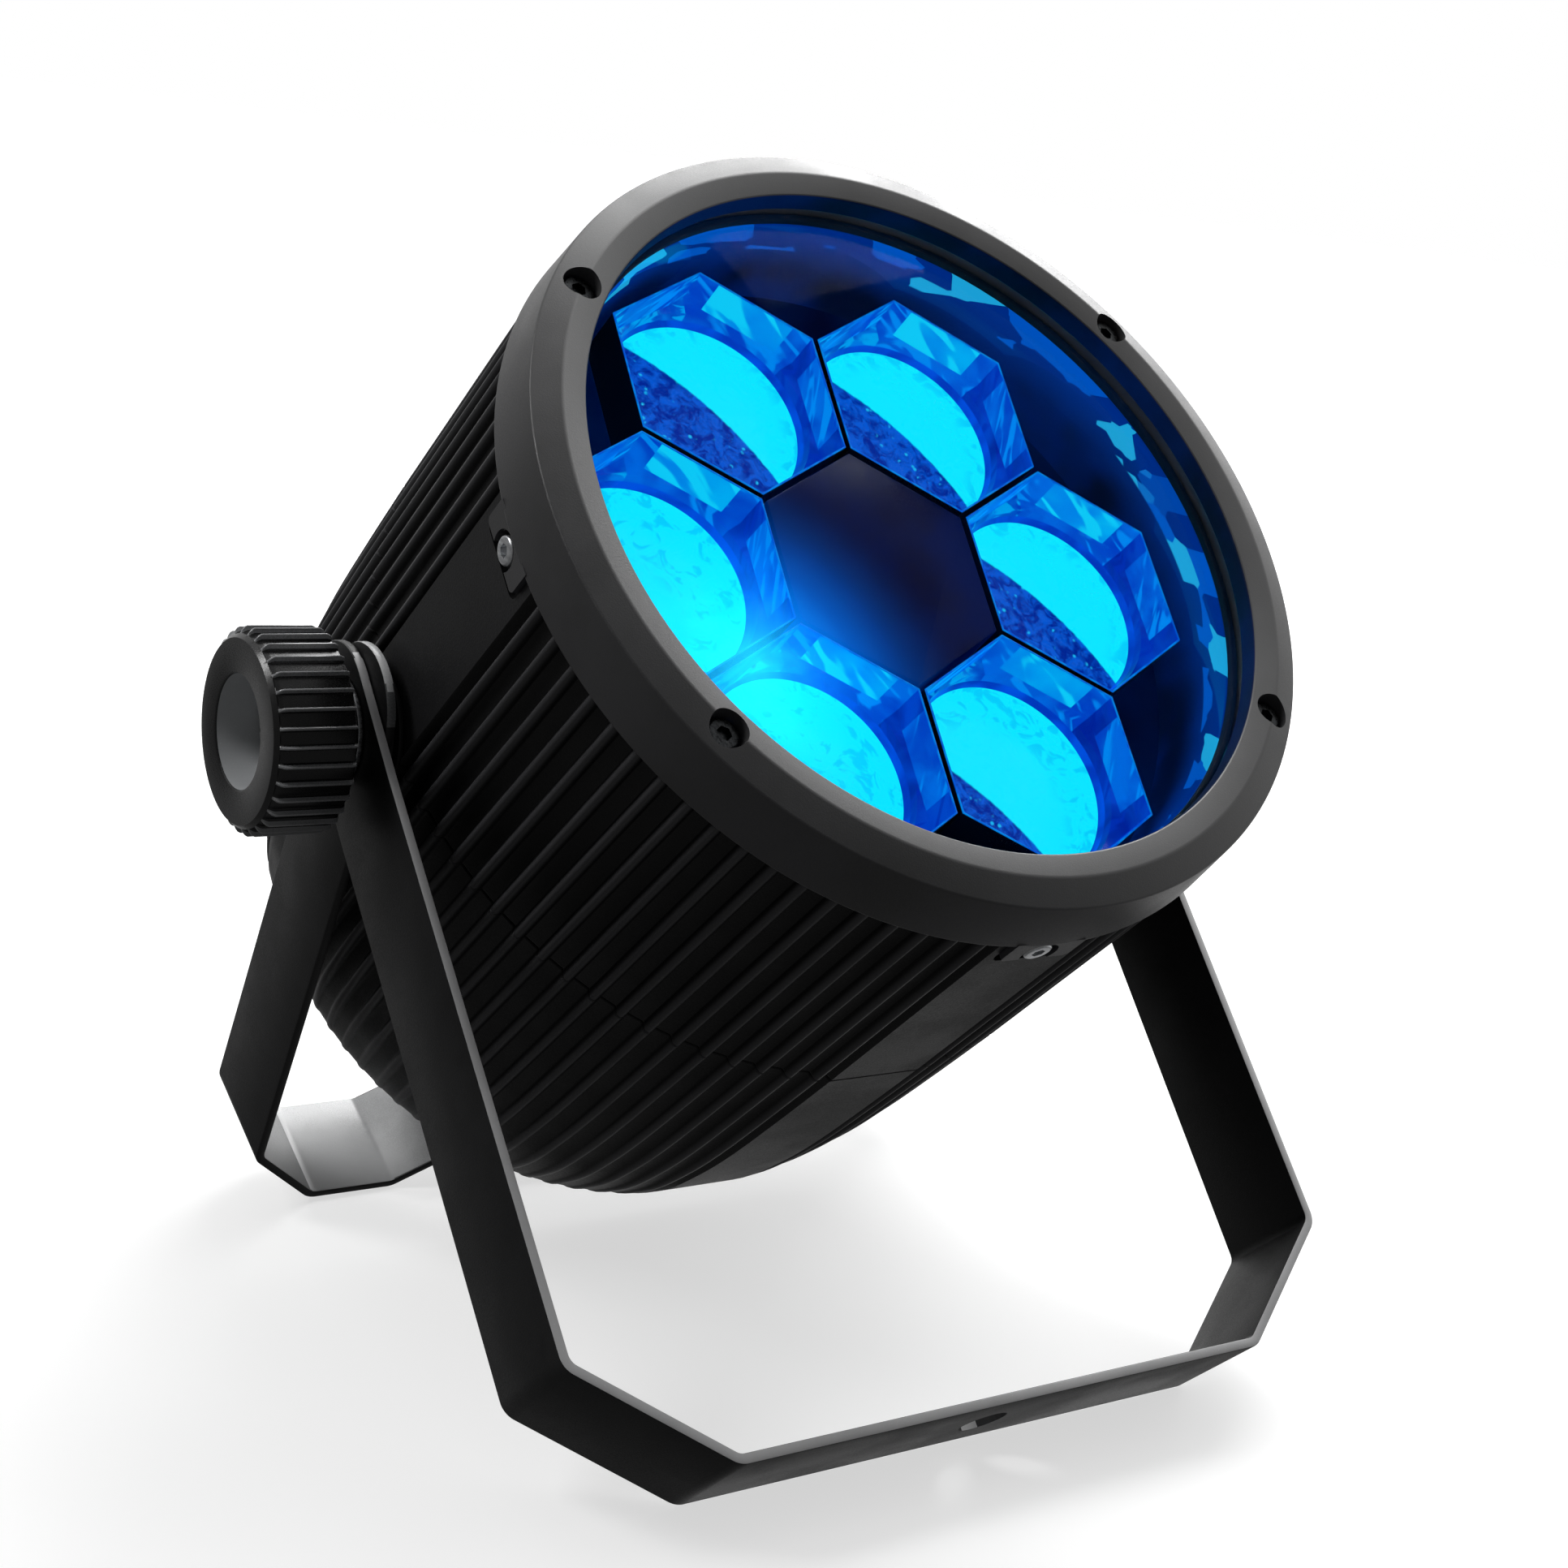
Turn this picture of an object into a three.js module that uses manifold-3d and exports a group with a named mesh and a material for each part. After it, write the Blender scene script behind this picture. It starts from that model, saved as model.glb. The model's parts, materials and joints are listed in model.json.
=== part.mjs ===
// Par can light on a double yoke: a ribbed two-piece die-cast head with a screwed front bezel,
// six hexagonal collimator lenses round a blank centre, and two U brackets clamped by fluted knobs.
// Millimetres, +Z up. The head looks towards -Y and upwards; the pivot axis is parallel to X.
// The origin is at floor level, in the middle of the outline seen from above.
import * as THREE from 'three';
import { mergeVertices } from 'three/addons/utils/BufferGeometryUtils.js';
import Module from 'manifold-3d';

const wasm = await Module();
wasm.setup();

// ---- driving dimensions -------------------------------------------------------------------
const GAP = 0.3;                    // clearance between neighbouring pieces
const HEAD_ELEVATION = 44;          // degrees the beam axis points above the horizon
const FRONT_LEAN = 45;              // degrees the front bracket leans forward from the vertical
const REAR_LEAN = 24.5;             // degrees the rear bracket leans backward from the vertical
const PIVOT_Y = 3;                  // pivot axis behind the origin

const STRAP_WIDTH = 34;             // flat bar of both brackets
const STRAP_THICKNESS = 2.6;
const STRAP_BEND = 5;               // centre-line bend radius
const STRAP_TOP = 6.6;              // bar runs this far past the pivot before its round end
const FRONT_ARM_X = 121.5;          // outer face of the front bracket's arms at the pivot
const FRONT_LOW_X = 119;            // and above its cut corners: the arms close in below the clamp
const FRONT_DROP = 204.7;           // pivot to the outer face of the front bracket's bottom
const FRONT_CORNER = [37.8, 30.1];  // its cut corners, across and down
const REAR_ARM_X = 118.6;
const REAR_LOW_X = 116.6;
const REAR_CORNER = [21.6, 20.5];
const REAR_FOOT = 26;               // flat foot inboard of each cut corner
const REAR_RISE = [13, 7.5];        // slope from the foot up to the raised middle
const PIVOT_HOLE_R = 5.4;
const CLAMP_ZONE = 24;              // arms are parallel this far below the pivot
const CLAMP_HOLE_R = 6.5;

const RIB_TOP_R = 113;              // housing radius over the ribs
const RIB_HEIGHT = 2.4;
const RIBS_PER_QUADRANT = 18;
const RIB_FIRST = 9.4;              // degrees from a pad's centre line to the first rib
const RIB_PITCH = 4.19;
const RIB_BASE_HALF = 0.95;
const PAD_X = 112;                  // four smooth flat pads carry the pivots and tab screws
const PAD_HALF = 14;
const PAD_FOOT = 7.9;               // degrees at the pad's foot
const HOUSING_INNER_R = 107;
const HOUSING_MOUTH_R = 101;
const LEDGE_Z = 78;                 // ledge inside the mouth that takes the bezel's screws
const SEAM_Z = 6.3;                 // rear housing ends here, the front one starts a gap further
const FRONT_HOUSING_END = 88.3;
const HEAD_REAR_Z = -119;
const REAR_PROFILE = [              // radius, height and share of the rib height
  [112.999, SEAM_Z, 1],
  [112.4, -48, 1],
  [107.8, -88, 1],
  [101.3, -108.5, 0.8],
  [94.6, HEAD_REAR_Z, 0.35],
];

const BEZEL_R = 113;
const BEZEL_REAR_Z = 88.6;
const BEZEL_EDGE = [111.3, 106];    // radius and height of the face's outer edge
const BEZEL_RIDGE = [104.1, 108.5]; // and of its highest line
const BEZEL_LIP_Z = 107.3;          // height of the edge round the opening
const BEZEL_BORE_R = 100.6;
const OPENING_R = 97.4;
const SEAT_R = 99.3;                // pocket behind the opening for the glass and its gasket
const SEAT_Z = [94.8, 101.8];
const GLASS_R = 98.7;
const GLASS_Z = [98, 101.5];
const SHROUD_R = [97.2, 98.9];
const BEZEL_SCREW_R = 104.2;
const BEZEL_SCREW_ANGLES = [36, 144, 216, 324];
const COUNTERBORE = [4.9, 102];     // radius and floor height
const TAB_SCREW_Z = 83.8;
const TAB_FACE_X = 109.9;
const TAB_WIDTH = 21;
const TAB_REACH = 2.6;              // from the screw to the tab's rear edge
const SCALLOP_R = 5.2;

const CELL_R = 36.2;                // honeycomb cell, centre to corner
const LENS_R = 35.3;
const CELL_CLOCK = -33.5;           // honeycomb turned against the pivot axis
const LENS_TOP_Z = 79.7;
const LENS_SHOULDER_Z = 64;
const HOLDER_Z = [60, 63.6];
const HOLDER_R = 106.3;
const HOLDER_HOLE_R = 27.5;
const BOARD_Z = [36, 38];
const CHIP_SIZE = 9;
const CHIP_TOP_Z = 41.6;
const SINK_Z = [28, 35.7];
const FIN_PITCH = 13;
const FIN_REAR_Z = -22;
const FAN_SIZE = 92;
const FAN_Z = [-47.6, -22.6];
const FAN_HUB_R = 19;
const FAN_BLADES = 7;
const DRIVER_Z = [-75, -73.4];

const KNOB_R = 26.4;
const KNOB_FLUTES = 30;
const KNOB_FLUTE_DEPTH = 1.5;
const KNOB_Z = [123.6, 149.6];      // along the pivot, from the head's centre
const KNOB_NECK_R = 15;
const KNOB_RECESS = [13.4, 14.6, 137];  // floor radius, mouth radius and floor height
const BOLT_R = 4.9;
const BOLT_HEAD_R = 12.6;
const BOSS_R = [15.6, 17.5];

const PANEL_Z = [115.2, 117.6];     // rear panel, measured rearward from the pivot
const PANEL_CUT = [110, 120];       // reach of the tools that pierce it
const PANEL_R = 79;
const PANEL_SCREW_R = 75.5;
const PANEL_SCREW_ANGLES = [45, 135, 225, 315];
const PANEL_SCREW_HOLE_R = 1.7;
const VENT_Y = [50, 57, 64];
const FUSE_Y = -44;
const FUSE_R = 5.3;
const DISPLAY_SIZE = [46, 20];
const DISPLAY_Y = 33;
const BUTTON_X = [-22.5, -7.5, 7.5, 22.5];
const BUTTON_Y = 11;
const BUTTON_R = 4.2;

// ---- colours ------------------------------------------------------------------------------
const BLACK_CAST = [0x17181a, 0.55, 0.3];
const GREY_BEZEL = [0x34363a, 0.5, 0.3];
const BRACKET_BLACK = [0x1d1e20, 0.5, 0.4];
const STEEL = [0xb9bcc0, 0.28, 1];
const ALUMINIUM = [0xa3a7ab, 0.4, 1];
const KNOB_PLASTIC = [0x202225, 0.4, 0];
const RUBBER = [0x0d0d0d, 0.8, 0];
const GLASS = [0xdfe9f2, 0.04, 0];
const LENS_PLASTIC = [0x1fc4ff, 0.06, 0];
const DARK_PLASTIC = [0x0b0c10, 0.3, 0];
const BOARD_GREEN = [0x1c4a2c, 0.6, 0];

// ---- solids -------------------------------------------------------------------------------
function toSolid(geometry) {
  const plain = geometry.index ? geometry.toNonIndexed() : geometry.clone();
  plain.deleteAttribute('normal');
  plain.deleteAttribute('uv');
  const merged = mergeVertices(plain, 1e-4);
  return new wasm.Manifold(new wasm.Mesh({
    numProp: 3,
    vertProperties: new Float32Array(merged.attributes.position.array),
    triVerts: new Uint32Array(merged.index.array),
  }));
}

function toGeometry(solid) {
  const mesh = solid.getMesh();
  const geometry = new THREE.BufferGeometry();
  geometry.setAttribute('position', new THREE.BufferAttribute(mesh.vertProperties, 3));
  geometry.setIndex(new THREE.BufferAttribute(mesh.triVerts, 1));
  const flat = geometry.toNonIndexed();
  flat.computeVertexNormals();
  return flat;
}

function turned(profile, segments) {
  const points = profile.map(([r, z]) => new THREE.Vector2(r, z));
  return toSolid(new THREE.LatheGeometry(points, segments).rotateX(Math.PI / 2));
}

function ring(inner, outer, low, high, segments) {
  const profile = [[inner, low], [outer, low], [outer, high], [inner, high], [inner, low]];
  return turned(profile, segments);
}

function disc(radius, low, high, segments, x = 0, y = 0) {
  const profile = [[0, low], [radius, low], [radius, high], [0, high]];
  return turned(profile, segments).translate([x, y, 0]);
}

function block(width, depth, low, high, x = 0, y = 0) {
  const geometry = new THREE.BoxGeometry(width, depth, high - low);
  return toSolid(geometry.translate(x, y, (low + high) / 2));
}

function lofted(sections) {
  const count = sections[0].length;
  const positions = [];
  const push = (a, b, c) => positions.push(...a, ...b, ...c);
  for (let s = 0; s + 1 < sections.length; s += 1) {
    for (let i = 0; i < count; i += 1) {
      const j = (i + 1) % count;
      push(sections[s][i], sections[s][j], sections[s + 1][j]);
      push(sections[s][i], sections[s + 1][j], sections[s + 1][i]);
    }
  }
  const first = sections[0];
  const last = sections[sections.length - 1];
  for (let i = 0; i < count; i += 1) {
    const j = (i + 1) % count;
    push([0, 0, first[0][2]], first[j], first[i]);
    push([0, 0, last[0][2]], last[i], last[j]);
  }
  const geometry = new THREE.BufferGeometry();
  geometry.setAttribute('position', new THREE.Float32BufferAttribute(positions, 3));
  return toSolid(geometry);
}

function polar(radius, degrees, z) {
  const angle = THREE.MathUtils.degToRad(degrees);
  return [radius * Math.cos(angle), radius * Math.sin(angle), z];
}

function polygon(sides, radius, z, clock = 0) {
  return Array.from({ length: sides }, (_, i) => polar(radius, clock + (360 * i) / sides, z));
}

function prism(sides, radius, low, high, clock = 0) {
  return lofted([polygon(sides, radius, low, clock), polygon(sides, radius, high, clock)]);
}

function subtractAll(solid, cutters) {
  return cutters.reduce((rest, cutter) => rest.subtract(cutter), solid);
}

function addAll(solid, others) {
  return others.reduce((sum, other) => sum.add(other), solid);
}

function placed(name, group, solid, [color, roughness, metalness], extra = {}) {
  const material = new THREE.MeshStandardMaterial({ color, roughness, metalness, ...extra });
  const mesh = new THREE.Mesh(toGeometry(solid), material);
  mesh.name = name;
  group.add(mesh);
  return mesh;
}

// ---- the U brackets -----------------------------------------------------------------------
function bentCentreLine(points, radius, steps) {
  const line = [points[0]];
  for (let i = 1; i + 1 < points.length; i += 1) {
    const before = points[i - 1].clone().sub(points[i]).normalize();
    const after = points[i + 1].clone().sub(points[i]).normalize();
    const half = before.angleTo(after) / 2;
    const start = points[i].clone().addScaledVector(before, radius / Math.tan(half));
    const end = points[i].clone().addScaledVector(after, radius / Math.tan(half));
    const bisector = before.clone().add(after).normalize();
    const centre = points[i].clone().addScaledVector(bisector, radius / Math.sin(half));
    for (let k = 0; k <= steps; k += 1) {
      const spoke = start.clone().lerp(end, k / steps).sub(centre).setLength(radius);
      line.push(centre.clone().add(spoke));
    }
  }
  line.push(points[points.length - 1]);
  return line;
}

function strapOutline(points, thickness, radius) {
  const line = bentCentreLine(points, radius, 2);
  const sides = [[], []];
  line.forEach((point, i) => {
    const into = line[i].clone().sub(line[Math.max(i - 1, 0)]).normalize();
    const out = line[Math.min(i + 1, line.length - 1)].clone().sub(line[i]).normalize();
    const along = into.add(out).normalize();
    const across = new THREE.Vector2(-along.y, along.x).multiplyScalar(thickness / 2);
    sides[0].push(point.clone().add(across));
    sides[1].push(point.clone().sub(across));
  });
  return new THREE.Shape([...sides[0], ...sides[1].reverse()]);
}

function acrossX(radius, halfLength) {
  return disc(radius, -halfLength, halfLength, 16).rotate([0, 90, 0]);
}

function bracket(outline, armX, drop, clampHoleZ) {
  const strap = new THREE.ExtrudeGeometry(outline, { depth: STRAP_WIDTH, bevelEnabled: false });
  strap.rotateX(Math.PI / 2).translate(0, STRAP_WIDTH / 2, 0);
  const side = new THREE.Shape();
  const low = -drop - STRAP_WIDTH;
  side.moveTo(-STRAP_WIDTH / 2, low);
  side.lineTo(STRAP_WIDTH / 2, low);
  side.lineTo(STRAP_WIDTH / 2, STRAP_TOP);
  side.absarc(0, STRAP_TOP, STRAP_WIDTH / 2, 0, Math.PI, false);
  const shape = new THREE.ExtrudeGeometry(side, {
    depth: 2 * armX + STRAP_WIDTH, bevelEnabled: false, curveSegments: 10,
  });
  shape.translate(0, 0, -armX - STRAP_WIDTH / 2);
  shape.rotateX(Math.PI / 2).rotateZ(Math.PI / 2);
  const clampHole = disc(CLAMP_HOLE_R, clampHoleZ - STRAP_WIDTH, clampHoleZ + STRAP_WIDTH, 20);
  const pivotHoles = acrossX(PIVOT_HOLE_R, armX + STRAP_WIDTH);
  return toSolid(strap).intersect(toSolid(shape)).subtract(clampHole).subtract(pivotHoles);
}

function mirrored(half) {
  const other = half.map(([x, z]) => [-x, z]).reverse();
  return [...half, ...other].map(([x, z]) => new THREE.Vector2(x, z));
}

const halfStrap = STRAP_THICKNESS / 2;
const strapEnd = STRAP_TOP + STRAP_WIDTH;
const radians = THREE.MathUtils.degToRad;
const PIVOT_Z = FRONT_DROP * Math.cos(radians(FRONT_LEAN))
  + (STRAP_WIDTH / 2) * Math.sin(radians(FRONT_LEAN));
const REAR_DROP = (PIVOT_Z - (STRAP_WIDTH / 2) * Math.sin(radians(REAR_LEAN)))
  / Math.cos(radians(REAR_LEAN));

const frontPath = mirrored([
  [FRONT_ARM_X - halfStrap, strapEnd],
  [FRONT_ARM_X - halfStrap, -CLAMP_ZONE],
  [FRONT_LOW_X - halfStrap, -FRONT_DROP + FRONT_CORNER[1]],
  [FRONT_LOW_X - FRONT_CORNER[0], -FRONT_DROP + halfStrap],
]);
const rearFootX = REAR_LOW_X - REAR_CORNER[0];
const rearPath = mirrored([
  [REAR_ARM_X - halfStrap, strapEnd],
  [REAR_ARM_X - halfStrap, -CLAMP_ZONE],
  [REAR_LOW_X - halfStrap, -REAR_DROP + REAR_CORNER[1]],
  [rearFootX, -REAR_DROP + halfStrap],
  [rearFootX - REAR_FOOT, -REAR_DROP + halfStrap],
  [rearFootX - REAR_FOOT - REAR_RISE[0], -REAR_DROP + REAR_RISE[1] + halfStrap],
]);

// ---- the ribbed housing -------------------------------------------------------------------
function ribbedSection(topRadius, ribHeight, z) {
  const base = topRadius - ribHeight;
  const scale = topRadius / RIB_TOP_R;
  const padAngle = THREE.MathUtils.radToDeg(Math.atan2(PAD_HALF, PAD_X));
  const padRadius = Math.hypot(PAD_HALF, PAD_X) * scale;
  const points = [];
  for (let quadrant = 0; quadrant < 4; quadrant += 1) {
    const start = quadrant * 90;
    points.push(polar(padRadius, start + padAngle, z));
    points.push(polar(base, start + PAD_FOOT, z));
    for (let i = 0; i < RIBS_PER_QUADRANT; i += 1) {
      const centre = start + RIB_FIRST + i * RIB_PITCH;
      points.push(polar(base, centre - RIB_BASE_HALF, z));
      points.push(polar(topRadius, centre, z));
      points.push(polar(base, centre + RIB_BASE_HALF, z));
    }
    points.push(polar(base, start + 90 - PAD_FOOT, z));
    points.push(polar(padRadius, start + 90 - padAngle, z));
  }
  return points;
}

function frontHousing() {
  const outer = lofted([
    ribbedSection(RIB_TOP_R, RIB_HEIGHT, SEAM_Z + GAP),
    ribbedSection(RIB_TOP_R - 0.8, RIB_HEIGHT, FRONT_HOUSING_END),
  ]);
  const inside = turned([
    [0, SEAM_Z - 1],
    [HOUSING_INNER_R, SEAM_Z - 1],
    [HOUSING_INNER_R, LEDGE_Z],
    [HOUSING_MOUTH_R, LEDGE_Z],
    [HOUSING_MOUTH_R, FRONT_HOUSING_END + 1],
    [0, FRONT_HOUSING_END + 1],
  ], 40);
  const cutters = [inside];
  for (let side = 0; side < 4; side += 1) {
    const pocket = block(6, TAB_WIDTH + 1, TAB_SCREW_Z - SCALLOP_R, FRONT_HOUSING_END + 1,
      TAB_FACE_X - GAP + 3);
    cutters.push(pocket.rotate([0, 0, side * 90]));
    const hole = disc(1.9, 100, PAD_X + 3, 8).rotate([0, 90, 0]);
    cutters.push(hole.translate([0, 0, TAB_SCREW_Z]).rotate([0, 0, side * 90]));
  }
  for (const angle of BEZEL_SCREW_ANGLES) {
    const [x, y] = polar(BEZEL_SCREW_R, angle, 0);
    cutters.push(disc(2, LEDGE_Z - 2, FRONT_HOUSING_END + 2, 8, x, y));
  }
  return subtractAll(outer, cutters);
}

function rearHousing() {
  const sections = REAR_PROFILE.map(([r, z, rib]) => ribbedSection(r, RIB_HEIGHT * rib, z));
  const inside = turned([
    [0, -122],
    [PANEL_R + 0.6, -122],
    [PANEL_R + 0.6, -PANEL_Z[0] + GAP],
    [72, -PANEL_Z[0] + GAP],
    [72, -110],
    [94, -105],
    [101.4, -86],
    [106.2, -50],
    [HOUSING_INNER_R, SEAM_Z + 2],
    [0, SEAM_Z + 2],
  ], 40);
  const cutters = [inside, acrossX(PIVOT_HOLE_R, RIB_TOP_R + 3)];
  for (const angle of PANEL_SCREW_ANGLES) {
    const [x, y] = polar(PANEL_SCREW_R, angle, 0);
    cutters.push(disc(PANEL_SCREW_HOLE_R, -116, -105, 10, x, y));
  }
  return subtractAll(lofted(sections.reverse()), cutters);
}

// ---- the bezel ----------------------------------------------------------------------------
function bezel() {
  const profile = [
    [BEZEL_BORE_R, BEZEL_REAR_Z],
    [BEZEL_R, BEZEL_REAR_Z],
    BEZEL_EDGE,
    BEZEL_RIDGE,
    [OPENING_R, BEZEL_LIP_Z],
    [OPENING_R, SEAT_Z[1]],
    [SEAT_R, SEAT_Z[1]],
    [SEAT_R, SEAT_Z[0]],
    [BEZEL_BORE_R, SEAT_Z[0]],
    [BEZEL_BORE_R, BEZEL_REAR_Z],
  ];
  const tabs = [];
  const cutters = [];
  for (let side = 0; side < 4; side += 1) {
    const turn = [0, 0, side * 90];
    const tab = block(BEZEL_R - TAB_FACE_X, TAB_WIDTH, TAB_SCREW_Z - TAB_REACH, BEZEL_REAR_Z + 3,
      (BEZEL_R + TAB_FACE_X) / 2 - 0.05);
    tabs.push(tab.rotate(turn));
    const scallop = disc(SCALLOP_R, 104, PAD_X + 3, 14).rotate([0, 90, 0]);
    cutters.push(scallop.translate([0, 0, TAB_SCREW_Z - 0.5]).rotate(turn));
  }
  for (const angle of BEZEL_SCREW_ANGLES) {
    const [x, y] = polar(BEZEL_SCREW_R, angle, 0);
    cutters.push(disc(COUNTERBORE[0], COUNTERBORE[1], BEZEL_RIDGE[1] + 3, 14, x, y));
    cutters.push(disc(2, BEZEL_REAR_Z - 1, COUNTERBORE[1] + 1, 8, x, y));
  }
  return subtractAll(addAll(turned(profile, 60), tabs), cutters);
}

function capScrew(headRadius, headLow, headHigh, shankRadius, shankEnd, socketRadius) {
  const body = turned([
    [0, shankEnd],
    [shankRadius, shankEnd],
    [shankRadius, headLow],
    [headRadius, headLow],
    [headRadius - 0.4, headHigh],
    [0, headHigh],
  ], 10);
  return body.subtract(prism(6, socketRadius, headHigh - 1, headHigh + 1));
}

// ---- optics -------------------------------------------------------------------------------
function cellCentre(index) {
  const [x, y] = polar(Math.sqrt(3) * CELL_R, 30 + 60 * index + CELL_CLOCK, 0);
  return [x, y];
}

function lens() {
  const flange = prism(6, LENS_R, LENS_SHOULDER_Z, LENS_TOP_Z, CELL_CLOCK);
  const bowl = turned([
    [0, 43.4],
    [8, 43.4],
    [17, 50],
    [26, LENS_SHOULDER_Z + 1],
    [0, LENS_SHOULDER_Z + 1],
  ], 16);
  return flange.add(bowl);
}

function lensHolder() {
  const plate = disc(HOLDER_R, HOLDER_Z[0], HOLDER_Z[1], 36);
  const holes = [0, 1, 2, 3, 4, 5].map((i) => {
    const [x, y] = cellCentre(i);
    return disc(HOLDER_HOLE_R, HOLDER_Z[0] - 1, HOLDER_Z[1] + 1, 16, x, y);
  });
  return subtractAll(plate, holes);
}

function ledBoard() {
  const chips = [0, 1, 2, 3, 4, 5].map((i) => (
    block(CHIP_SIZE, CHIP_SIZE, BOARD_Z[0] + 1, CHIP_TOP_Z, ...cellCentre(i))
  ));
  return addAll(disc(94, BOARD_Z[0], BOARD_Z[1], 32), chips);
}

function heatsink() {
  const fins = [];
  for (let i = -6; i <= 6; i += 1) {
    const y = i * FIN_PITCH;
    const length = 2 * Math.sqrt(92 ** 2 - y ** 2);
    fins.push(block(length, 3, FIN_REAR_Z, SINK_Z[0] + 2, 0, y));
  }
  return addAll(disc(HOLDER_R, SINK_Z[0], SINK_Z[1], 32), fins);
}

// ---- fan and electronics ------------------------------------------------------------------
function fanFrame() {
  const bore = disc(FAN_SIZE / 2 - 2.5, FAN_Z[0] - 1, 0, 36);
  const frame = block(FAN_SIZE, FAN_SIZE, FAN_Z[0], FAN_Z[1]).subtract(bore);
  const strut = block(120, 5, FAN_Z[0], FAN_Z[0] + 3);
  const struts = [45, 135].map((turn) => strut.rotate([0, 0, turn]));
  const hub = disc(FAN_HUB_R, FAN_Z[0], FAN_Z[0] + 3, 24);
  const limit = block(FAN_SIZE - 1, FAN_SIZE - 1, FAN_Z[0] - 1, FAN_Z[1]);
  const holder = addAll(hub, struts).intersect(limit);
  return frame.add(holder);
}

function fanRotor() {
  const blades = [];
  for (let i = 0; i < FAN_BLADES; i += 1) {
    const blade = block(26, 1.6, -8, 8).rotate([38, 0, 0]).translate([29, 0, FAN_Z[0] + 12.5]);
    blades.push(blade.rotate([0, 0, (360 * i) / FAN_BLADES]));
  }
  const slice = ring(12, 42, FAN_Z[0] + 4, FAN_Z[1] - 1, 36);
  const cut = addAll(blades[0], blades.slice(1)).intersect(slice);
  return disc(FAN_HUB_R, FAN_Z[0] + 3 + GAP, FAN_Z[1] - 1, 24).add(cut);
}

function driverBoard() {
  const board = block(100, 96, DRIVER_Z[0], DRIVER_Z[1]);
  const root = DRIVER_Z[0] + 0.5;
  const transformer = block(30, 24, -92, root, -28, 22);
  const choke = block(18, 34, -88, root, 24, -20);
  const capacitors = [8, 30].map((x) => disc(8, -96, root, 20, x, 28));
  const terminals = block(36, 10, -82, root, -24, -26);
  const extras = [transformer, choke, ...capacitors, terminals];
  for (const x of [-41, 41]) {
    for (const y of [-41, 41]) {
      extras.push(disc(3, DRIVER_Z[0] + 1, FAN_Z[0] - GAP, 10, x, y));
    }
  }
  return addAll(board, extras);
}

// ---- rear panel, built facing +Z and turned to face rearward -------------------------------
const CONNECTORS = [
  ['power_inlet', -30, -16, 11],
  ['power_outlet', 30, -16, 11],
  ['data_in', -30, -50, 10],
  ['data_out', 30, -50, 10],
];

function rearPanel() {
  const cutters = BUTTON_X.map((x) => disc(BUTTON_R + GAP, ...PANEL_CUT, 16, x, BUTTON_Y));
  for (const [, x, y, radius] of CONNECTORS) {
    cutters.push(disc(radius + GAP, ...PANEL_CUT, 18, x, y));
  }
  for (const y of VENT_Y) {
    cutters.push(block(52, 3.2, ...PANEL_CUT, 0, y));
  }
  for (const angle of PANEL_SCREW_ANGLES) {
    const [x, y] = polar(PANEL_SCREW_R, angle, 0);
    cutters.push(disc(PANEL_SCREW_HOLE_R, ...PANEL_CUT, 10, x, y));
  }
  cutters.push(disc(FUSE_R + GAP, ...PANEL_CUT, 16, 0, FUSE_Y));
  return subtractAll(disc(PANEL_R, PANEL_Z[0], PANEL_Z[1], 40), cutters);
}

function connector(x, y, radius) {
  const face = PANEL_Z[1] + GAP;
  const flange = block(25, 28, face, face + 1.7, x, y);
  const barrel = disc(radius, 98, face + 0.5, 18, x, y);
  const socket = disc(radius - 2.2, 104, face + 3, 16, x, y);
  const key = block(2.4, 3, 103, face + 1.4, x, y + radius - 2.8);
  return flange.add(barrel).subtract(socket).add(key);
}

function button(x) {
  const collar = BUTTON_R + 1.3;
  const collarTop = PANEL_Z[0] - GAP;
  return turned([
    [0, collarTop - 2.5],
    [collar, collarTop - 2.5],
    [collar, collarTop],
    [BUTTON_R, collarTop],
    [BUTTON_R, PANEL_Z[1] + 1.8],
    [BUTTON_R - 0.6, PANEL_Z[1] + 2.4],
    [0, PANEL_Z[1] + 2.4],
  ], 16).translate([x, BUTTON_Y, 0]);
}

function fuseCap() {
  const under = PANEL_Z[1] + GAP;
  return turned([
    [0, 104],
    [FUSE_R, 104],
    [FUSE_R, under],
    [FUSE_R + 2.3, under],
    [FUSE_R + 2.3, under + 2.7],
    [FUSE_R + 1.7, under + 3.3],
    [0, under + 3.3],
  ], 20).translate([0, FUSE_Y, 0]);
}

// ---- clamping hardware, built along +Z outward from the head ------------------------------
function flutedSection(radius, depth, z) {
  const points = [];
  for (let i = 0; i < KNOB_FLUTES; i += 1) {
    const centre = (360 * i) / KNOB_FLUTES;
    points.push(polar(radius, centre, z));
    points.push(polar(radius - depth, centre + 180 / KNOB_FLUTES, z));
  }
  return points;
}

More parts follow.
